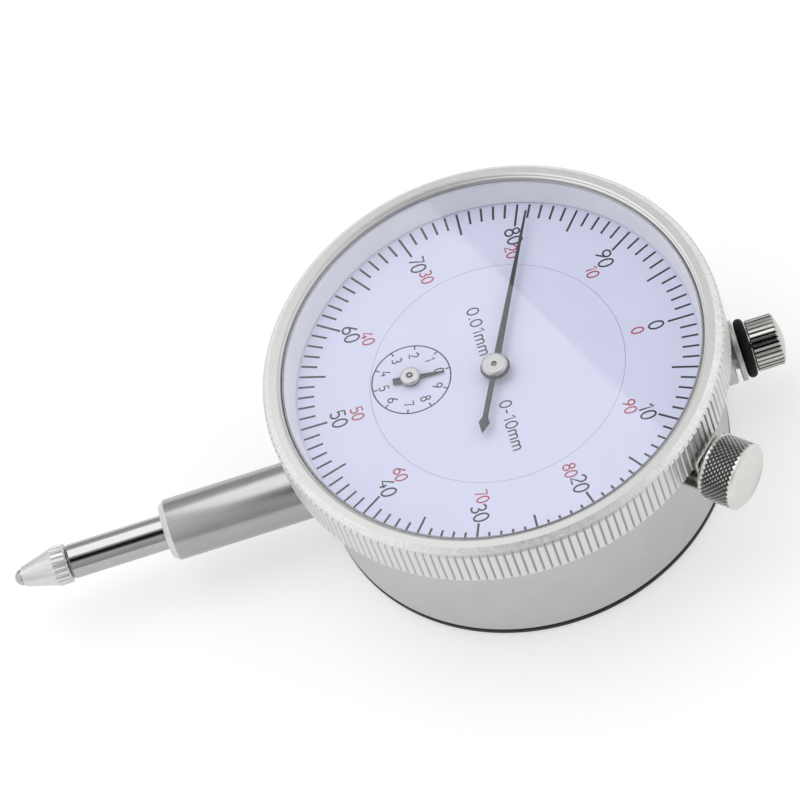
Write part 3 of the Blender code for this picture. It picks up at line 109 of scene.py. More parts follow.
def metal(name, shades, roughness, grain, stretch=(1.0, 1.0, 1.0), turn=0.0, depth=0.004, patch=4.0,
          groove_shade=None):
    """A metal surface: shades is its darker and lighter tone, roughness its least and most.

    grain is the width in mm of its machining marks, stretch how they run, depth their height in
    mm, patch the size in mm of its slow changes of tone, and groove_shade the tone of the painted shade down
    in its grooves.
    """
    made, tree, shader, place = new_surface(name)
    shader.inputs["Metallic"].default_value = 1.0
    lined = add(tree, "Mapping", {"Scale": stretch, "Rotation": (0.0, 0.0, turn)}, {"Vector": place})
    marks = add(tree, "TexNoise", {"Scale": 1.0 / (grain * MM), "Detail": 3.0, "Roughness": 0.6},
                {"Vector": lined.outputs["Vector"]})
    clouds = add(tree, "TexNoise", {"Scale": 1.0 / (patch * MM), "Detail": 2.0}, {"Vector": place})
    blend = add(tree, "Mix", {"data_type": "FLOAT", 0: 0.35},
                {2: marks.outputs["Fac"], 3: clouds.outputs["Fac"]})
    tone = add(tree, "ValToRGB", {"stops": [(0.3, shades[0]), (0.7, shades[1])]},
               {"Fac": blend.outputs[0]})
    gloss = add(tree, "MapRange", {"From Min": 0.3, "From Max": 0.7, "To Min": roughness[0],
                                   "To Max": roughness[1]}, {"Value": blend.outputs[0]})
    bump = add(tree, "Bump", {"Strength": 0.6, "Distance": depth * MM},
               {"Height": marks.outputs["Fac"]})
    colour = tone.outputs["Color"]
    # Painted shade: the tone goes darker down in the grooves that pull_in marked, as if shadowed.
    if groove_shade:
        deep = add(tree, "Attribute", {"attribute_name": GROOVE})
        shaded_tone = add(tree, "Mix", {"data_type": "RGBA", 7: linear(groove_shade)},
                   {0: deep.outputs["Fac"], 6: colour})
        colour = shaded_tone.outputs[2]
    tree.links.new(colour, shader.inputs["Base Color"])
    tree.links.new(gloss.outputs["Result"], shader.inputs["Roughness"])
    tree.links.new(bump.outputs["Normal"], shader.inputs["Normal"])
    return made


def coating(name, shades, roughness, grain, depth, patch=6.0, specular=0.5):
    """Paint, ink, plastic or rubber: a coloured surface with a fine skin texture."""
    made, tree, shader, place = new_surface(name)
    shader.inputs["Specular IOR Level"].default_value = specular
    skin = add(tree, "TexNoise", {"Scale": 1.0 / (grain * MM), "Detail": 4.0}, {"Vector": place})
    clouds = add(tree, "TexNoise", {"Scale": 1.0 / (patch * MM), "Detail": 2.0}, {"Vector": place})
    tone = add(tree, "ValToRGB", {"stops": [(0.3, shades[0]), (0.7, shades[1])]},
               {"Fac": clouds.outputs["Fac"]})
    gloss = add(tree, "MapRange", {"From Min": 0.3, "From Max": 0.7, "To Min": roughness[0],
                                   "To Max": roughness[1]}, {"Value": skin.outputs["Fac"]})
    bump = add(tree, "Bump", {"Strength": 0.5, "Distance": depth * MM},
               {"Height": skin.outputs["Fac"]})
    tree.links.new(tone.outputs["Color"], shader.inputs["Base Color"])
    tree.links.new(gloss.outputs["Result"], shader.inputs["Roughness"])
    tree.links.new(bump.outputs["Normal"], shader.inputs["Normal"])
    return made


def clear_acrylic():
    """Cast acrylic window, polished: it only shows by what it mirrors, and by faint wiping marks.

    It is thin and flat, so what lies behind it is let straight through. The mirror is on the
    faces that look outwards, and it stands for both the front and the rear of the window.
    """
    made, tree, shader, place = new_surface("cast_acrylic_polished")
    tree.nodes.remove(shader)
    wiping = add(tree, "TexNoise", {"Scale": 1.0 / (3.0 * MM), "Detail": 5.0}, {"Vector": place})
    gloss = add(tree, "MapRange", {"From Min": 0.4, "From Max": 0.7, "To Min": 0.0, "To Max": 0.05},
                {"Value": wiping.outputs["Fac"]})
    mirror = add(tree, "BsdfAnisotropic", {"Color": linear("#ffffff")},
                 {"Roughness": gloss.outputs["Result"]})
    through = add(tree, "BsdfTransparent", {"Color": linear("#fdfdff")})
    fresnel = add(tree, "Fresnel", {"IOR": 1.49})
    inside = add(tree, "NewGeometry").outputs["Backfacing"]
    outside = add(tree, "Math", {"operation": "SUBTRACT", 0: 1.0}, {1: inside})
    once = add(tree, "Math", {"operation": "MULTIPLY"},
               {0: fresnel.outputs["Fac"], 1: outside.outputs["Value"]})
    share = add(tree, "Math", {"operation": "MULTIPLY", 1: 1.6, "use_clamp": True},
                {0: once.outputs["Value"]})
    both = add(tree, "MixShader", links={0: share.outputs["Value"], 1: through.outputs["BSDF"],
                                         2: mirror.outputs["BSDF"]})
    tree.links.new(both.outputs["Shader"], tree.nodes["Material Output"].inputs["Surface"])
    return made


# Die-cast aluminium with a bead-blasted, anodised skin: an even, soft grey with a fine grain.
case_metal = metal("anodised_aluminium_blasted", ("#babab9", "#c7c7c6"), (0.34, 0.42), 0.12, depth=0.003)
# Brass bezel, turned, knurled and plated with satin chrome: bright, with painted shade making it greyer
# between its ribs.
bezel_metal = metal("satin_chrome_plate", ("#d3d3d2", "#dddddc"), (0.34, 0.46), 0.35, depth=0.003,
                    patch=2.0, groove_shade="#a4a4a6")
# The bezel's flat lip is turned after plating, and the slope beside the ribs is left frosted.
lip_metal = metal("satin_chrome_turned", ("#c0c0bf", "#d6d6d5"), (0.42, 0.58), 0.25, depth=0.02,
                  patch=1.2)
frosted_metal = metal("satin_chrome_frosted", ("#d2d2d1", "#f6f6f5"), (0.3, 0.5), 0.2, depth=0.09,
                      patch=0.8)
# Stem of stainless steel, ground: fine streaks along its length.
stem_metal = metal("stainless_steel_ground", ("#a3a3a4", "#adadae"), (0.22, 0.28), 0.2,
                   stretch=(1.0, 0.05, 1.0), depth=0.00015)
# The ends that are faced off in the lathe are lighter and duller.
faced_metal = metal("stainless_steel_faced", ("#cfcfce", "#dddddc"), (0.36, 0.46), 0.25, depth=0.002)
# Spindle of hardened steel, lapped: nearly a mirror, with hairlines along it.
spindle_metal = metal("hardened_steel_lapped", ("#adadaf", "#b7b7b9"), (0.1, 0.15), 0.15,
                      stretch=(1.0, 0.05, 1.0), depth=0.0004)
# Turned brass, nickel plated: neutral grey and glossy, with painted shade, nearly black, down in the cap's
# serrations.
nickel = metal("nickel_plate_bright", ("#b9b8b5", "#c6c5c2"), (0.14, 0.22), 0.2, depth=0.001,
               patch=2.0, groove_shade="#1c1c1e")
# The hands' hubs and the washer: the same plate, dulled by handling.
dull_nickel = metal("nickel_plate_dulled", ("#b0afab", "#c2c1bd"), (0.3, 0.4), 0.2, depth=0.001,
                    patch=1.0)
# The knob's knurl: the same plate on sharp diamonds, bright on top, with painted shade making it grey
# between.
knurled_nickel = metal("nickel_plate_knurled", ("#cfcecb", "#dddcd9"), (0.16, 0.26), 0.2,
                       depth=0.001, patch=1.0, groove_shade="#4e4e50")
# Gear brass, stamped and lightly grained.
brass = metal("rolled_brass_grained", ("#b08d4c", "#c9a665"), (0.24, 0.36), 0.15,
              stretch=(1.0, 0.1, 1.0), depth=0.002)
# Hands of sheet steel, blackened: dark with a dull sheen, grained along their length.
hand_metal = metal("steel_sheet_blackened", ("#303035", "#45454c"), (0.3, 0.42), 0.1,
                   stretch=(0.1, 1.0, 1.0), turn=math.radians(23.0), depth=0.002)
# Drawn spring wire, bright.
spring_metal = metal("spring_wire_drawn", ("#8d8d90", "#a3a3a6"), (0.2, 0.3), 0.1, depth=0.001)
# Back cover of moulded black ABS with a fine spark texture.
cover_plastic = coating("abs_moulded_black", ("#121213", "#19191a"), (0.45, 0.6), 0.25, 0.012)
# Nitrile rubber ring: matt, slightly dusty black.
rubber = coating("nitrile_rubber", ("#050505", "#0a0a0b"), (0.6, 0.75), 0.15, 0.006, patch=1.5,
                 specular=0.2)
# Dial plates of aluminium with a baked enamel, white with a cool tint.
dial_enamel = coating("baked_enamel_cool_white", ("#d9dcf0", "#dcdff3"), (0.46, 0.5), 1.5, 0.0001)
# Sloping ring inside the bezel, sprayed light grey.
ring_paint = coating("sprayed_paint_light_grey", ("#f0f0f1", "#f5f5f6"), (0.45, 0.55), 0.3, 0.001)
# Pad-printed inks: they stand a hundredth of a millimetre proud, with a dull gloss.
dark_ink = coating("pad_printing_ink_black", ("#08080f", "#0d0d15"), (0.5, 0.65), 0.2, 0.0005,
                   specular=0.2)
red_ink = coating("pad_printing_ink_red", ("#a5203a", "#b22a44"), (0.5, 0.65), 0.2, 0.0005,
                  specular=0.2)
crystal_clear = clear_acrylic()


# ---------------------------------------------------------------- ways of making

def deselect():
    if bpy.context.mode != "OBJECT":
        bpy.ops.object.mode_set(mode="OBJECT")
    bpy.ops.object.select_all(action="DESELECT")


def activate(piece):
    deselect()
    piece.select_set(True)
    bpy.context.view_layer.objects.active = piece


def turned(name, profile, steps=96, closed=False):
    """Turns a piece on the Z axis: a corner is drawn out along the profile, then spun round.

    The profile is (radius, height) pairs. A closed one comes back to its first corner.
    """
    deselect()
    bpy.ops.mesh.primitive_plane_add(size=MM)
    piece = bpy.context.object
    piece.name = name
    piece.data.name = name
    bpy.ops.object.mode_set(mode="EDIT")
    bpy.ops.mesh.merge(type="CENTER")
    corners = [Vector((radius * MM, 0.0, height * MM)) for radius, height in profile]
    if closed:
        corners.append(corners[0])
    bpy.ops.transform.translate(value=corners[0])
    for before, after in zip(corners, corners[1:]):
        bpy.ops.mesh.extrude_region_move(TRANSFORM_OT_translate={"value": after - before})
    bpy.ops.mesh.select_all(action="SELECT")
    bpy.ops.mesh.remove_doubles(threshold=JOIN)
    bpy.ops.mesh.spin(steps=steps, angle=TURN, center=(0.0, 0.0, 0.0), axis=(0.0, 0.0, 1.0))
    bpy.ops.mesh.select_all(action="SELECT")
    bpy.ops.mesh.remove_doubles(threshold=JOIN)
    bpy.ops.mesh.normals_make_consistent(inside=False)
    bpy.ops.object.mode_set(mode="OBJECT")
    return piece


def select_corners(piece, chosen):
    """Goes into edit mode with only the corners that pass a test selected, and lists them."""
    activate(piece)
    bpy.ops.object.mode_set(mode="EDIT")
    bpy.ops.mesh.select_mode(type="VERT")
    bpy.ops.mesh.select_all(action="DESELECT")
    shape = bmesh.from_edit_mesh(piece.data)
    picked = [corner.index for corner in shape.verts if chosen(corner.co / MM)]
    shape.verts.ensure_lookup_table()
    for index in picked:
        shape.verts[index].select_set(True)
    shape.select_flush(True)
    bmesh.update_edit_mesh(piece.data)
    return picked


def column(place, steps):
    """Which of the lathe's steps a corner stands at."""
    return round(math.atan2(place.y, place.x) / TURN * steps) % steps


def pull_in(piece, chosen, share, lift=0.0):
    """Draws the chosen corners in towards the lathe's axis and up by lift, and marks them as deep."""
    picked = select_corners(piece, chosen)
    bpy.ops.transform.resize(value=(share, share, 1.0), center_override=(0.0, 0.0, 0.0))
    if lift:
        bpy.ops.transform.translate(value=(0.0, 0.0, lift * MM))
    bpy.ops.object.mode_set(mode="OBJECT")
    marks = piece.data.attributes.get(GROOVE) or piece.data.attributes.new(GROOVE, "FLOAT", "POINT")
    for index in picked:
        marks.data[index].value = 1.0


def soften(piece, width, segments=2, angle=30.0):
    """Breaks a piece's sharp edges."""
    activate(piece)
    bevel = piece.modifiers.new("edges", "BEVEL")
    bevel.width = width * MM
    bevel.segments = segments
    bevel.limit_method = "ANGLE"
    bevel.angle_limit = math.radians(angle)
    bpy.ops.object.modifier_apply(modifier=bevel.name)


def combine(piece, tool, operation):
    """Cuts a tool out of a piece, or joins it on, and removes the tool."""
    activate(piece)
    boolean = piece.modifiers.new(operation.lower(), "BOOLEAN")
    boolean.operation = operation
    boolean.solver = "EXACT"
    boolean.object = tool
    bpy.ops.object.modifier_apply(modifier=boolean.name)
    bpy.data.objects.remove(tool)


def put(piece, where):
    """Puts a piece in its place, in its mesh, with its object left at the origin."""
    activate(piece)
    piece.matrix_world = where
    bpy.ops.object.transform_apply(location=True, rotation=True, scale=True)
    return piece


def drill(piece, radius, top, foot, steps, where=Matrix.Identity(4)):
    """Takes a round hole out of a piece, between two heights on the axis that where gives."""
    tool = turned("drill", [(0.0, top), (radius, top), (radius, foot), (0.0, foot)], steps)
    combine(piece, put(tool, where), "DIFFERENCE")


def round_section(middle, radius, corners):
    """The outline of a ring's round wire or rubber, as (radius, height) pairs."""
    angles = [TURN * corner / corners for corner in range(corners)]
    return [(middle[0] + radius * math.cos(a), middle[1] + radius * math.sin(a)) for a in angles]


def finish(piece, surface, body, nodes=(), smooth=32.0):
    """Gives a piece its surface and shading, and ties it to the frame."""
    activate(piece)
    piece.data.materials.clear()
    piece.data.materials.append(surface)
    bpy.ops.object.shade_smooth_by_angle(angle=math.radians(smooth))
    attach(piece, body)
    if nodes:
        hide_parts(*nodes)
    return piece


def face_off(piece, surface, chosen):
    """Gives the chosen faces of a finished piece a second surface."""
    piece.data.materials.append(surface)
    for face in piece.data.polygons:
        if chosen(face):
            face.material_index = len(piece.data.materials) - 1


def between(face, inner, outer, level):
    """Whether a face lies between two radii and above a level."""
    middle = face.center / MM
    return inner < middle.xy.length < outer and middle.z > level


def dressed_copy(name, node, edge):
    """A copy of a plain solid with its triangles joined into whole faces and its edges broken."""
    piece = frame["nodes"][node].copy()
    piece.data = piece.data.copy()
    piece.name = name
    piece.data.name = name
    for key in list(piece.keys()):
        del piece[key]
    piece.parent = None
    bpy.context.scene.collection.objects.link(piece)
    activate(piece)
    bpy.ops.object.mode_set(mode="EDIT")
    bpy.ops.mesh.select_all(action="SELECT")
    bpy.ops.mesh.customdata_custom_splitnormals_clear()
    bpy.ops.mesh.mark_sharp(clear=True)
    bpy.ops.mesh.remove_doubles(threshold=JOIN)
    bpy.ops.mesh.dissolve_limited(angle_limit=math.radians(1.0))
    bpy.ops.object.mode_set(mode="OBJECT")
    soften(piece, edge)
    return piece


# ---------------------------------------------------------------- bezel and dial

RIBS = 180
RIB_COLUMNS = 5                 # four along the crest and one down in the groove
RIB_DEPTH = 0.17
RIB_RUNOUT = 0.3                # how far up the slope a groove ends
BAND_RADIUS = 29.2
BAND_TOP = 23.26
BAND_FOOT = 18.14


def make_bezel():
    """The ribbed bezel, and what it carries: the sloping ring, the crystal and its snap ring."""
    steps = RIBS * RIB_COLUMNS
    profile = [
        (27.3, 24.26),
        (28.22, 24.2),
        (28.34, 24.12),
        (BAND_RADIUS - RIB_RUNOUT, BAND_TOP + RIB_RUNOUT),
        (BAND_RADIUS, BAND_TOP),
        (BAND_RADIUS, BAND_FOOT),
        (BAND_RADIUS - 0.14, 18.0),
        (26.5, 18.0),
        (26.35, 18.15),
        (26.35, 18.96),
        (24.9, 18.96),
        (24.9, 19.31),
        (26.75, 19.31),
        (26.75, 23.72),
        (26.86, 23.9),
        (27.02, 23.98),
        (27.1, 24.16),
    ]
    bezel = turned("knurled_bezel", profile, steps, closed=True)
    share = 1.0 - RIB_DEPTH / BAND_RADIUS

    def in_groove(place):
        last = column(place, steps) % RIB_COLUMNS == RIB_COLUMNS - 1
        return last and place.xy.length > BAND_RADIUS - 0.2

    def on_slope(face):
        middle = face.center / MM
        return 0.5 < face.normal.z < 0.95 and middle.z > BAND_TOP + 0.3 and middle.xy.length > 28.2

    # The grooves marked here get the bezel metal's painted shade.
    pull_in(bezel, lambda place: in_groove(place) and abs(place.z - BAND_TOP) < 0.1, share, RIB_DEPTH)
    pull_in(bezel, lambda place: in_groove(place) and place.z < BAND_FOOT + 0.1, share)
    finish(bezel, bezel_metal, "bezel", ["bezel"], smooth=24.0)
    face_off(bezel, lip_metal, lambda face: face.normal.z > 0.95 and face.center.z / MM > 24.1)
    face_off(bezel, frosted_metal, on_slope)

    slope = [(26.7, 23.5), (26.7, 20.01), (25.75, 20.01), (25.78, 20.12), (26.32, 22.2), (26.64, 23.5)]
    reflector = turned("sloping_ring", slope, 192, closed=True)
    finish(reflector, ring_paint, "bezel", ["reflector_ring"])

    pane = [(0.0, 23.46), (26.54, 23.46), (26.57, 23.4), (26.3, 22.26), (0.0, 22.26)]
    crystal = turned("flat_crystal", pane, 192)
    finish(crystal, crystal_clear, "bezel", ["crystal"])

    ring = turned("crystal_snap_ring", round_section((26.55, 23.66), 0.12, 12), 192, closed=True)
    finish(ring, spring_metal, "bezel", ["crystal_ring"], smooth=60.0)


def make_dial_plates():
    """The turning ring that carries the scale, and the fixed plate in its middle."""
    washer = [(26.5, DIAL_LEVEL), (26.5, 19.46), (16.24, 19.46), (16.24, 19.84), (16.26, DIAL_LEVEL)]
    ring = turned("scale_plate", washer, 192, closed=True)
    finish(ring, dial_enamel, "bezel", ["dial_ring"])

    plate = [(0.0, DIAL_LEVEL), (16.18, DIAL_LEVEL), (16.2, 19.84), (16.2, 19.36), (0.0, 19.36)]
    center = turned("fixed_plate", plate, 192)
    drill(center, 1.05, 21.0, 18.0, 32)
    drill(center, 1.0, 21.0, 18.0, 32, ON_COUNTER)
    finish(center, dial_enamel, "body", ["dial_center"])


def arc(centre, radii, start, end, count=9):
    """Points on part of an oval, from one angle in degrees to another."""
    angles = [math.radians(start + (end - start) * step / (count - 1)) for step in range(count)]
    return [(centre[0] + radii[0] * math.cos(a), centre[1] + radii[1] * math.sin(a)) for a in angles]


MARK_OUTER = 25.5
LONG_MARK_INNER = 22.1
SHORT_MARK_INNER = 23.4
NUMBER_RADIUS = 20.6
REVERSE_NUMBER_RADIUS = 18.2
COUNTER_CIRCLE = 5.05
COUNTER_MARK = (4.45, 5.0)      # where its marks start and end
COUNTER_NUMBER_RADIUS = 3.6
INK_FLATNESS = 0.16             # how high a pen's line stands, as a share of its width

OVAL = arc((0.25, 0.5), (0.22, 0.46), 90, 450, 25)
# Each sign is drawn as pen strokes in a box one unit high, on its line: (strokes, advance).
SIGNS = {
    "0": ([OVAL], 0.6),
    "1": ([[(0.1, 0.76), (0.3, 0.96), (0.3, 0.04)]], 0.5),
    "2": ([arc((0.25, 0.7), (0.2, 0.26), 170, -30, 11) + [(0.06, 0.05), (0.47, 0.05)]], 0.58),
    "3": ([arc((0.24, 0.73), (0.18, 0.23), 150, -90, 11)
           + arc((0.24, 0.27), (0.21, 0.23), 90, -150, 11)], 0.58),
    "4": ([[(0.33, 0.96), (0.04, 0.28), (0.5, 0.28)], [(0.38, 0.48), (0.38, 0.04)]], 0.6),
    "5": ([[(0.44, 0.95), (0.1, 0.95), (0.07, 0.53)]
           + arc((0.23, 0.32), (0.22, 0.27), 130, -140, 13)], 0.58),
    "6": ([arc((0.26, 0.28), (0.22, 0.24), 150, 510, 19), [(0.38, 0.96), (0.14, 0.56), (0.05, 0.34)]], 0.6),
    "7": ([[(0.04, 0.95), (0.46, 0.95), (0.2, 0.04)]], 0.54),
    "8": ([arc((0.25, 0.74), (0.18, 0.21), -90, 270, 17),
           arc((0.25, 0.28), (0.22, 0.25), 90, 450, 19)], 0.6),
    "9": ([arc((0.26, 0.72), (0.22, 0.24), -30, 330, 19), [(0.14, 0.04), (0.38, 0.44), (0.47, 0.66)]], 0.6),
    "m": ([[(0.05, 0.04), (0.05, 0.7)], arc((0.2, 0.52), (0.15, 0.17), 180, 0, 9) + [(0.35, 0.04)],
           arc((0.5, 0.52), (0.15, 0.17), 180, 0, 9) + [(0.65, 0.04)]], 0.82),
    "-": ([[(0.05, 0.42), (0.32, 0.42)]], 0.46),
    ".": ([[(0.06, 0.06), (0.14, 0.06)]], 0.26),
}


def written_width(text):
    return sum(SIGNS[sign][1] for sign in text) - 0.1


def pen_strokes(name, strokes, pen):
    """Lays ink along strokes of points on the dial face: a round line pressed nearly flat."""
    curve = bpy.data.curves.new(name, "CURVE")
    curve.dimensions = "3D"
    curve.bevel_depth = pen * MM / 2.0
    curve.bevel_resolution = 1
    curve.use_fill_caps = True
    for stroke in strokes:
        looped = (Vector(stroke[0]) - Vector(stroke[-1])).length < 0.0001
        points = stroke[:-1] if looped else stroke
        spline = curve.splines.new("POLY")
        spline.points.add(len(points) - 1)
        for point, (x, y) in zip(spline.points, points):
            point.co = (x * MM, y * MM, 0.0, 1.0)
        spline.use_cyclic_u = looped
    ink = bpy.data.objects.new(name, curve)
    bpy.context.scene.collection.objects.link(ink)
    activate(ink)
    bpy.ops.object.convert(target="MESH")
    ink = bpy.context.object
    ink.name = name
    pressed = Matrix.Diagonal((1.0, 1.0, INK_FLATNESS, 1.0))
    return put(ink, Matrix.Translation((0.0, 0.0, DIAL_LEVEL * MM)) @ pressed)


def written(text, middle, height, narrow=1.0):
    """Strokes of a line of text, centred on a point and upright to twelve o'clock."""
    strokes = []
    x = middle[0] - written_width(text) * height * narrow / 2.0
    foot = middle[1] - height / 2.0
    for sign in text:
        shapes, advance = SIGNS[sign]
        for shape in shapes:
            strokes.append([(x + px * height * narrow, foot + py * height) for px, py in shape])
        x += advance * height * narrow
    return strokes


def clockwise(radius, angle):
    """A point at an angle in radians clockwise from twelve o'clock."""
    return Vector((radius * math.sin(angle), radius * math.cos(angle)))


def make_printing():
    """The turning scale with its two rows of numbers, the turn counter and the range words."""
    ticks = []
    for mark in range(100):
        angle = SCALE_TURN + TURN * mark / 100
        inner = LONG_MARK_INNER if mark % 5 == 0 else SHORT_MARK_INNER
        ticks.append([tuple(clockwise(inner, angle)), tuple(clockwise(MARK_OUTER, angle))])
    finish(pen_strokes("scale_marks", ticks, 0.29), dark_ink, "bezel")

    outer = []
    inner = []
    for ten in range(10):
        angle = SCALE_TURN + TURN * ten / 10
        outer += written(str(10 * ten), clockwise(NUMBER_RADIUS, angle), 2.05, 1.12)
        back = str(0 if ten == 0 else 100 - 10 * ten)
        inner += written(back, clockwise(REVERSE_NUMBER_RADIUS, angle), 1.65, 1.1)
    finish(pen_strokes("scale_numbers", outer, 0.25), dark_ink, "bezel")
    finish(pen_strokes("reverse_numbers", inner, 0.21), red_ink, "bezel")

    center = COUNTER_ARBOR
    small = [arc(center, (COUNTER_CIRCLE, COUNTER_CIRCLE), 0, 360, 73)]
    for mark in range(10):
        angle = -TURN * mark / 10
        small.append([tuple(center + clockwise(radius, angle)) for radius in COUNTER_MARK])
        small += written(str(mark), center + clockwise(COUNTER_NUMBER_RADIUS, angle), 1.35, 1.05)
    finish(pen_strokes("turn_counter_marks", small, 0.18), dark_ink, "body")
    words = written("0.01mm", (-6.8, -0.8), 1.6, 1.35) + written("0-10mm", (8.4, -0.1), 1.6, 1.3)
    finish(pen_strokes("range_words", words, 0.2), dark_ink, "body")


def make_hands():
    """Both pointers, and their hubs, each with a dark ring of painted shade round its arbor's end."""
    pointer = dressed_copy("main_pointer", "main_hand", 0.04)
    finish(pointer, hand_metal, "center_arbor", ["main_hand"])
    pointer = dressed_copy("small_pointer", "small_hand", 0.04)
    finish(pointer, hand_metal, "counter_arbor", ["small_hand"])
    hub = [
        (0.0, 21.78), (0.1, 21.77), (0.13, 21.62), (0.32, 21.62), (0.34, 21.82), (0.4, 21.86), (1.42, 21.86),
        (1.65, 21.7), (1.65, 21.3), (1.6, 21.26), (0.9, 21.26), (0.9, 20.31), (0.65, 20.31), (0.65, 21.55),
        (0.0, 21.55),
    ]
    main = turned("main_pointer_hub", hub, 64)
    finish(main, dull_nickel, "center_arbor", ["main_hand_hub"])
    # The recess round the arbor's end gets the blackened steel as painted shade.
    face_off(main, hand_metal, lambda face: between(face, 0.11, 0.36, 21.6))
    hub = [
        (0.0, 20.94), (0.14, 20.935), (0.16, 20.885), (0.42, 20.885), (0.44, 20.93),
        (0.5, 20.94), (1.12, 20.9),
        (1.25, 20.8), (1.25, 20.4), (1.2, 20.36), (0.85, 20.36), (0.85, 20.01), (0.6, 20.01), (0.6, 20.87),
        (0.0, 20.87),
    ]
    small = turned("small_pointer_hub", hub, 64)
    finish(small, dull_nickel, "counter_arbor", ["small_hand_hub"])
    # The recess round the arbor's end gets the blackened steel as painted shade.
    face_off(small, hand_metal, lambda face: between(face, 0.14, 0.45, 20.88))
    put(small, ON_COUNTER)


# ---------------------------------------------------------------- case, stem and back

def make_case():
    """The round case with its boss and holes, and the back cover with its four screws."""
    profile = [
        (26.05, 18.81), (26.05, 18.66), (25.75, 18.66), (25.75, 18.14), (26.05, 18.14),
        (26.05, 1.05), (25.81, 0.81), (24.5, 0.81), (24.5, 16.4), (1.7, 16.4), (1.7, 17.6),
        (13.0, 17.6), (13.0, 19.21), (15.8, 19.21), (15.8, 17.6), (23.5, 17.6), (23.5, 18.81),
    ]
    case = turned("round_case", profile, 192, closed=True)
    boss = turned("boss", [(0.0, 28.4), (3.75, 28.4), (3.95, 28.2), (3.95, 24.8), (0.0, 24.8)], 96)
    combine(case, put(boss, ON_SPINDLE), "UNION")
    drill(case, 3.35, 30.0, 22.5, 64, ON_SPINDLE)
    drill(case, 4.15, -22.5, -27.05, 64, ON_SPINDLE)
    drill(case, 1.35, 27.05, 23.3, 32, ON_CLAMP)
    finish(case, case_metal, "body", ["case"])

    cover = [
        (0.0, 1.76), (24.2, 1.76), (24.2, 0.66), (25.9, 0.66), (26.05, 0.51), (26.05, 0.15), (25.9, 0.0),
        (22.0, 0.0), (21.8, 0.12), (20.6, 0.12), (20.4, 0.0), (0.0, 0.0),
    ]
    cover = turned("back_plate", cover, 192)
    for quarter in range(4):
        around = Matrix.Rotation(TURN * (quarter + 0.5) / 4.0, 4, "Z")
        at = around @ Matrix.Translation((22.6 * MM, 0.0, 0.0))
        sink = [(0.0, -1.0), (1.75, -1.0), (1.75, 0.9), (0.95, 0.9), (0.95, 5.0), (0.0, 5.0)]
        combine(cover, put(turned("sink", sink, 32), at), "DIFFERENCE")
    finish(cover, cover_plastic, "body", ["back_cover"])
    for number in range(1, 5):
        screw = dressed_copy(f"cover_screw_{number}", f"back_screw_{number}", 0.06)
        finish(screw, nickel, "body", [f"back_screw_{number}"])


def make_stem():
    """The stem, faced off at its end, and the two bushes that guide the spindle."""
    profile = [
        (4.0, -23.65), (4.0, -45.6), (3.94, -45.7), (3.45, -46.34), (3.36, -46.4),
        (3.3, -46.3), (3.3, -23.65),
    ]
    stem = put(turned("stem_tube", profile, 96, closed=True), ON_SPINDLE)
    finish(stem, stem_metal, "body", ["stem"])
    face_off(stem, faced_metal, lambda face: face.center.y / MM < -45.62)
    lower = [(3.15, -37.4), (3.15, -46.1), (3.0, -46.25), (2.5, -46.25), (2.4, -46.1), (2.4, -37.4)]
    bush = put(turned("lower_bush", lower, 64, closed=True), ON_SPINDLE)
    finish(bush, brass, "body", ["stem_bush"])
    upper = [(3.2, 17.6), (2.4, 17.6), (2.4, 28.2), (2.5, 28.3), (3.1, 28.3), (3.2, 28.2)]
    bush = put(turned("upper_bush", upper, 64, closed=True), ON_SPINDLE)
    finish(bush, brass, "body", ["top_bush"])


# ---------------------------------------------------------------- spindle and its ends

SPINDLE_SPLIT = -30.0           # inside the stem, where the seam is out of sight


def knurl(piece, steps, period, chosen, share):
    """Straight serrations: one column in every period is drawn in."""
    pull_in(piece, lambda place: column(place, steps) % period == period - 1 and chosen(place), share)


def make_spindle():
    """The rack is kept from its solid, and the part that shows is a smooth rod set against it."""
    rack = dressed_copy("spindle_rack", "spindle", 0.03)
    bpy.ops.object.mode_set(mode="EDIT")
    bpy.ops.mesh.select_all(action="SELECT")
    bpy.ops.mesh.bisect(plane_co=(0.0, SPINDLE_SPLIT * MM, 0.0), plane_no=(0.0, 1.0, 0.0), use_fill=True,
                        clear_inner=True)
    bpy.ops.object.mode_set(mode="OBJECT")
    finish(rack, spindle_metal, "spindle", ["spindle"])
    profile = [
        (0.0, SPINDLE_SPLIT), (2.25, SPINDLE_SPLIT), (2.25, -59.0), (2.1, -59.2),
        (1.25, -59.2), (1.25, -54.5),
        (0.0, -54.5),
    ]
    rod = put(turned("spindle_rod", profile, 96), ON_SPINDLE)
    finish(rod, spindle_metal, "spindle", ["spindle"])


def make_contact_point():
    """The ribbed, tapered holder that screws into the spindle, and its hard ball."""
    steps = 24 * 4
    profile = [
        (0.0, -54.65), (1.1, -54.65), (1.1, -59.4), (2.35, -59.4), (2.575, -59.6), (2.575, -61.25),
        (2.4, -61.5), (1.3, -65.45), (1.2, -65.55), (1.15, -65.5), (0.0, -65.0),
    ]
    point = turned("contact_holder", profile, steps)
    knurl(point, steps, 4, lambda place: place.xy.length > 2.5, 0.94)
    finish(put(point, ON_SPINDLE), faced_metal, "spindle", ["contact_point"], smooth=26.0)
    ball = dressed_ball()
    finish(ball, spindle_metal, "spindle", ["contact_ball"], smooth=60.0)


def dressed_ball():
    """The hard ball, drawn in a little on the side that sits in the holder."""
    deselect()
    bpy.ops.mesh.primitive_uv_sphere_add(segments=48, ring_count=32, radius=1.1 * MM)
    ball = bpy.context.object
    ball.name = "contact_ball_polished"
    select_corners(ball, lambda place: place.z > 0.5)
    bpy.ops.transform.resize(value=(0.97, 0.97, 1.0), center_override=(0.0, 0.0, 0.5 * MM))
    bpy.ops.object.mode_set(mode="OBJECT")
    return put(ball, ON_SPINDLE @ Matrix.Translation((0.0, 0.0, -65.5 * MM)))


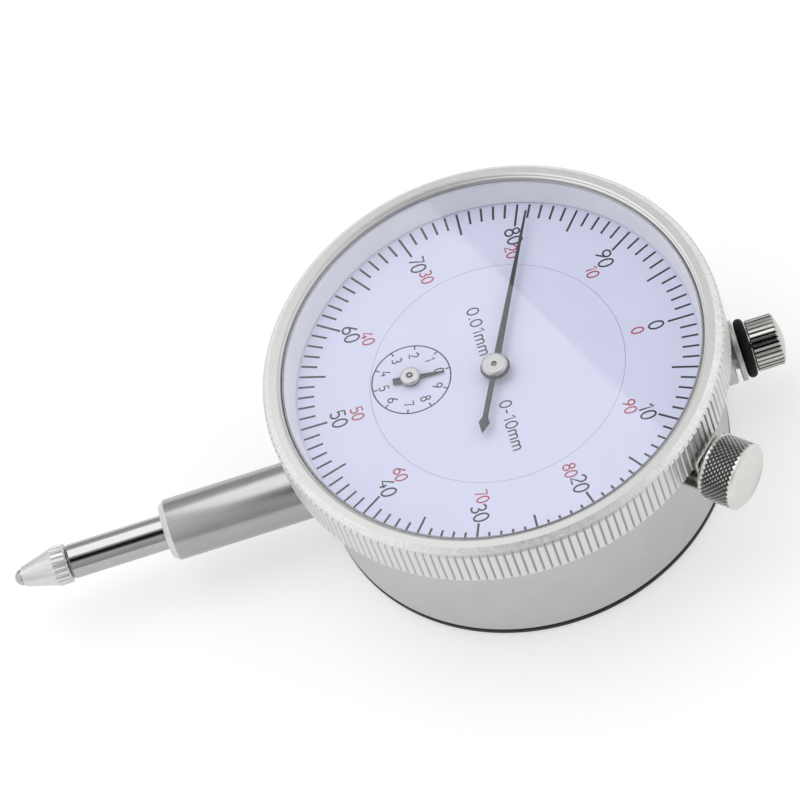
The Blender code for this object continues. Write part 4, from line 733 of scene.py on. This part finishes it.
def make_lifting_cap():
    """The serrated cap that lifts the spindle, with its washer and rubber ring."""
    washer = [(1.75, 29.65), (3.85, 29.65), (3.97, 29.53), (3.97, 29.12), (3.85, 29.0), (1.75, 29.0)]
    washer = put(turned("lift_washer", washer, 96, closed=True), ON_SPINDLE)
    finish(washer, dull_nickel, "spindle", ["cap_washer"])
    section = round_section((3.2, 30.4), 0.65, 16)
    ring = put(turned("rubber_ring", section, 96, closed=True), ON_SPINDLE)
    finish(ring, rubber, "spindle", ["cap_oring"], smooth=60.0)

    steps = 32 * 4
    profile = [
        (0.0, 35.4), (0.6, 35.39), (1.8, 35.2), (2.9, 34.86), (3.2, 34.72), (3.375, 34.5), (3.375, 31.3),
        (3.2, 31.15), (2.4, 31.15), (2.4, 29.8), (1.75, 29.8), (1.75, 33.75), (0.0, 33.75),
    ]
    cap = turned("serrated_cap", profile, steps)
    # The serrations marked here get the nickel's painted shade, nearly black.
    knurl(cap, steps, 4, lambda place: place.xy.length > 3.3, 0.88)
    finish(put(cap, ON_SPINDLE), nickel, "spindle", ["lift_cap"], smooth=26.0)


def make_clamp():
    """The thumb screw with its diamond knurl, and the claw plate behind it."""
    rows = 13
    steps = 80
    inner = 30.55
    outer = 34.65
    grip = [(4.3, outer - (outer - inner) * row / (rows - 1)) for row in range(rows)]
    profile = [
        (0.0, 35.05), (3.72, 35.05), (3.85, 35.0), (4.12, 34.82), *grip, (3.85, 30.1), (3.7, 30.1),
        (1.2, 30.1), (1.2, 24.65), (0.0, 24.65),
    ]
    knob = turned("clamp_knob", profile, steps)
    pitch = (outer - inner) / (rows - 1)

    def in_dent(place):
        row = round((outer - place.z) / pitch)
        return place.xy.length > 4.2 and 0 < row < rows - 1 and (row + column(place, steps)) % 2 == 0

    # The dents marked here get the knurled nickel's painted shade.
    pull_in(knob, in_dent, 0.94)
    activate(knob)
    bpy.ops.object.mode_set(mode="EDIT")
    bpy.ops.mesh.select_all(action="SELECT")
    bpy.ops.mesh.quads_convert_to_tris(quad_method="SHORTEST_DIAGONAL")
    bpy.ops.object.mode_set(mode="OBJECT")
    finish(put(knob, ON_CLAMP), knurled_nickel, "clamp_screw", ["clamp_screw"], smooth=26.0)
    claw = dressed_copy("clamp_claw_plate", "clamp_claw", 0.1)
    finish(claw, nickel, "body", ["clamp_claw"])


# ---------------------------------------------------------------- movement

def dress_movement():
    """Gives every solid of the frame its surface, the ones that no new piece stands for too."""
    surfaces = {
        "brass": brass,
        "nickel": nickel,
        "spring_steel": spring_metal,
        "stem_steel": stem_metal,
        "spindle_steel": spindle_metal,
        "hand_metal": hand_metal,
        "case_metal": case_metal,
        "bezel_metal": bezel_metal,
        "cover_black": cover_plastic,
        "rubber": rubber,
        "dial_paint": dial_enamel,
        "reflector_paint": ring_paint,
        "crystal": crystal_clear,
    }
    for piece in frame["record"]["subparts"]:
        mesh = frame["nodes"][piece["node"]].data
        mesh.materials.clear()
        mesh.materials.append(surfaces[piece["material_slot"]])


# ---------------------------------------------------------------- studio

def softbox(name, at, size, turn, power):
    """A lamp that faces straight down, its length turned from the X axis."""
    lamp = bpy.data.lights.new(name, "AREA")
    lamp.shape = "RECTANGLE"
    lamp.size = size[0]
    lamp.size_y = size[1]
    lamp.energy = power
    holder = bpy.data.objects.new(name, lamp)
    holder.location = at
    holder.rotation_euler = (0.0, 0.0, turn)
    bpy.context.scene.collection.objects.link(holder)


def make_studio():
    """A pale floor, a room that is brighter towards its two ends, and one lamp overhead."""
    deselect()
    bpy.ops.mesh.primitive_plane_add(size=6.0, location=(0.0, 0.0, -0.0002))
    floor = bpy.context.object
    floor.name = "studio_floor"
    made, _, shader, _ = new_surface("matt_white_paper")
    shader.inputs["Base Color"].default_value = linear("#c8c8c8")
    shader.inputs["Roughness"].default_value = 0.9
    shader.inputs["Emission Color"].default_value = linear("#ffffff")
    shader.inputs["Emission Strength"].default_value = 0.5
    floor.data.materials.append(made)

    world = bpy.data.worlds.new("studio_world")
    bpy.context.scene.world = world
    world.use_nodes = True
    tree = world.node_tree
    direction = add(tree, "TexCoord").outputs["Generated"]
    split = add(tree, "SeparateXYZ", links={"Vector": direction})
    ramp = add(tree, "ValToRGB", {"stops": [(0.0, "#b8b8b8"), (0.35, "#cccccc"), (0.8, "#e8e8e8")]},
               {"Fac": split.outputs["Z"]})
    unlit = add(tree, "VectorMath", {"operation": "DOT_PRODUCT", 1: UNLIT_SIDE}, {0: direction})
    shade = add(tree, "ValToRGB", {"stops": [(0.93, "#ffffff"), (0.975, "#101010")]},
                {"Fac": unlit.outputs["Value"]})
    room = add(tree, "Mix", {"data_type": "RGBA", "blend_type": "MULTIPLY", 0: 1.0},
               {6: ramp.outputs["Color"], 7: shade.outputs["Color"]})
    back = tree.nodes["Background"]
    tree.links.new(room.outputs[2], back.inputs["Color"])
    ends = add(tree, "Math", {"operation": "ABSOLUTE"}, {0: split.outputs["Y"]})
    strength = add(tree, "MapRange", {"interpolation_type": "SMOOTHSTEP", "From Min": 0.35, "From Max": 0.85,
                                      "To Min": 0.95, "To Max": 1.75}, {"Value": ends.outputs["Value"]})
    tree.links.new(strength.outputs["Result"], back.inputs["Strength"])

    softbox("overhead_softbox", (-0.377, -0.254, 0.8), (0.85, 0.6), math.radians(24.0), 1.9)


def make_camera():
    """A long lens, looking down on the dial from its lower right."""
    right = Vector((0.21565, 0.95173, -0.21842))
    up = Vector((-0.78291, 0.30219, 0.54380))
    back = Vector((0.58355, 0.05373, 0.81029))
    lens = bpy.data.cameras.new("view")
    lens.lens = 220.3
    lens.sensor_width = 36.0
    lens.clip_start = 0.01
    holder = bpy.data.objects.new("view", lens)
    turn = Matrix((right, up, back)).transposed().to_4x4()
    holder.matrix_world = Matrix.Translation((0.35548, 0.02017, 0.51403)) @ turn
    bpy.context.scene.collection.objects.link(holder)
    bpy.context.scene.camera = holder


dress_movement()
make_bezel()
make_dial_plates()
make_printing()
make_hands()
make_case()
make_stem()
make_contact_point()
make_lifting_cap()
make_clamp()
make_spindle()
make_studio()
make_camera()
bpy.context.scene.view_settings.view_transform = "Standard"
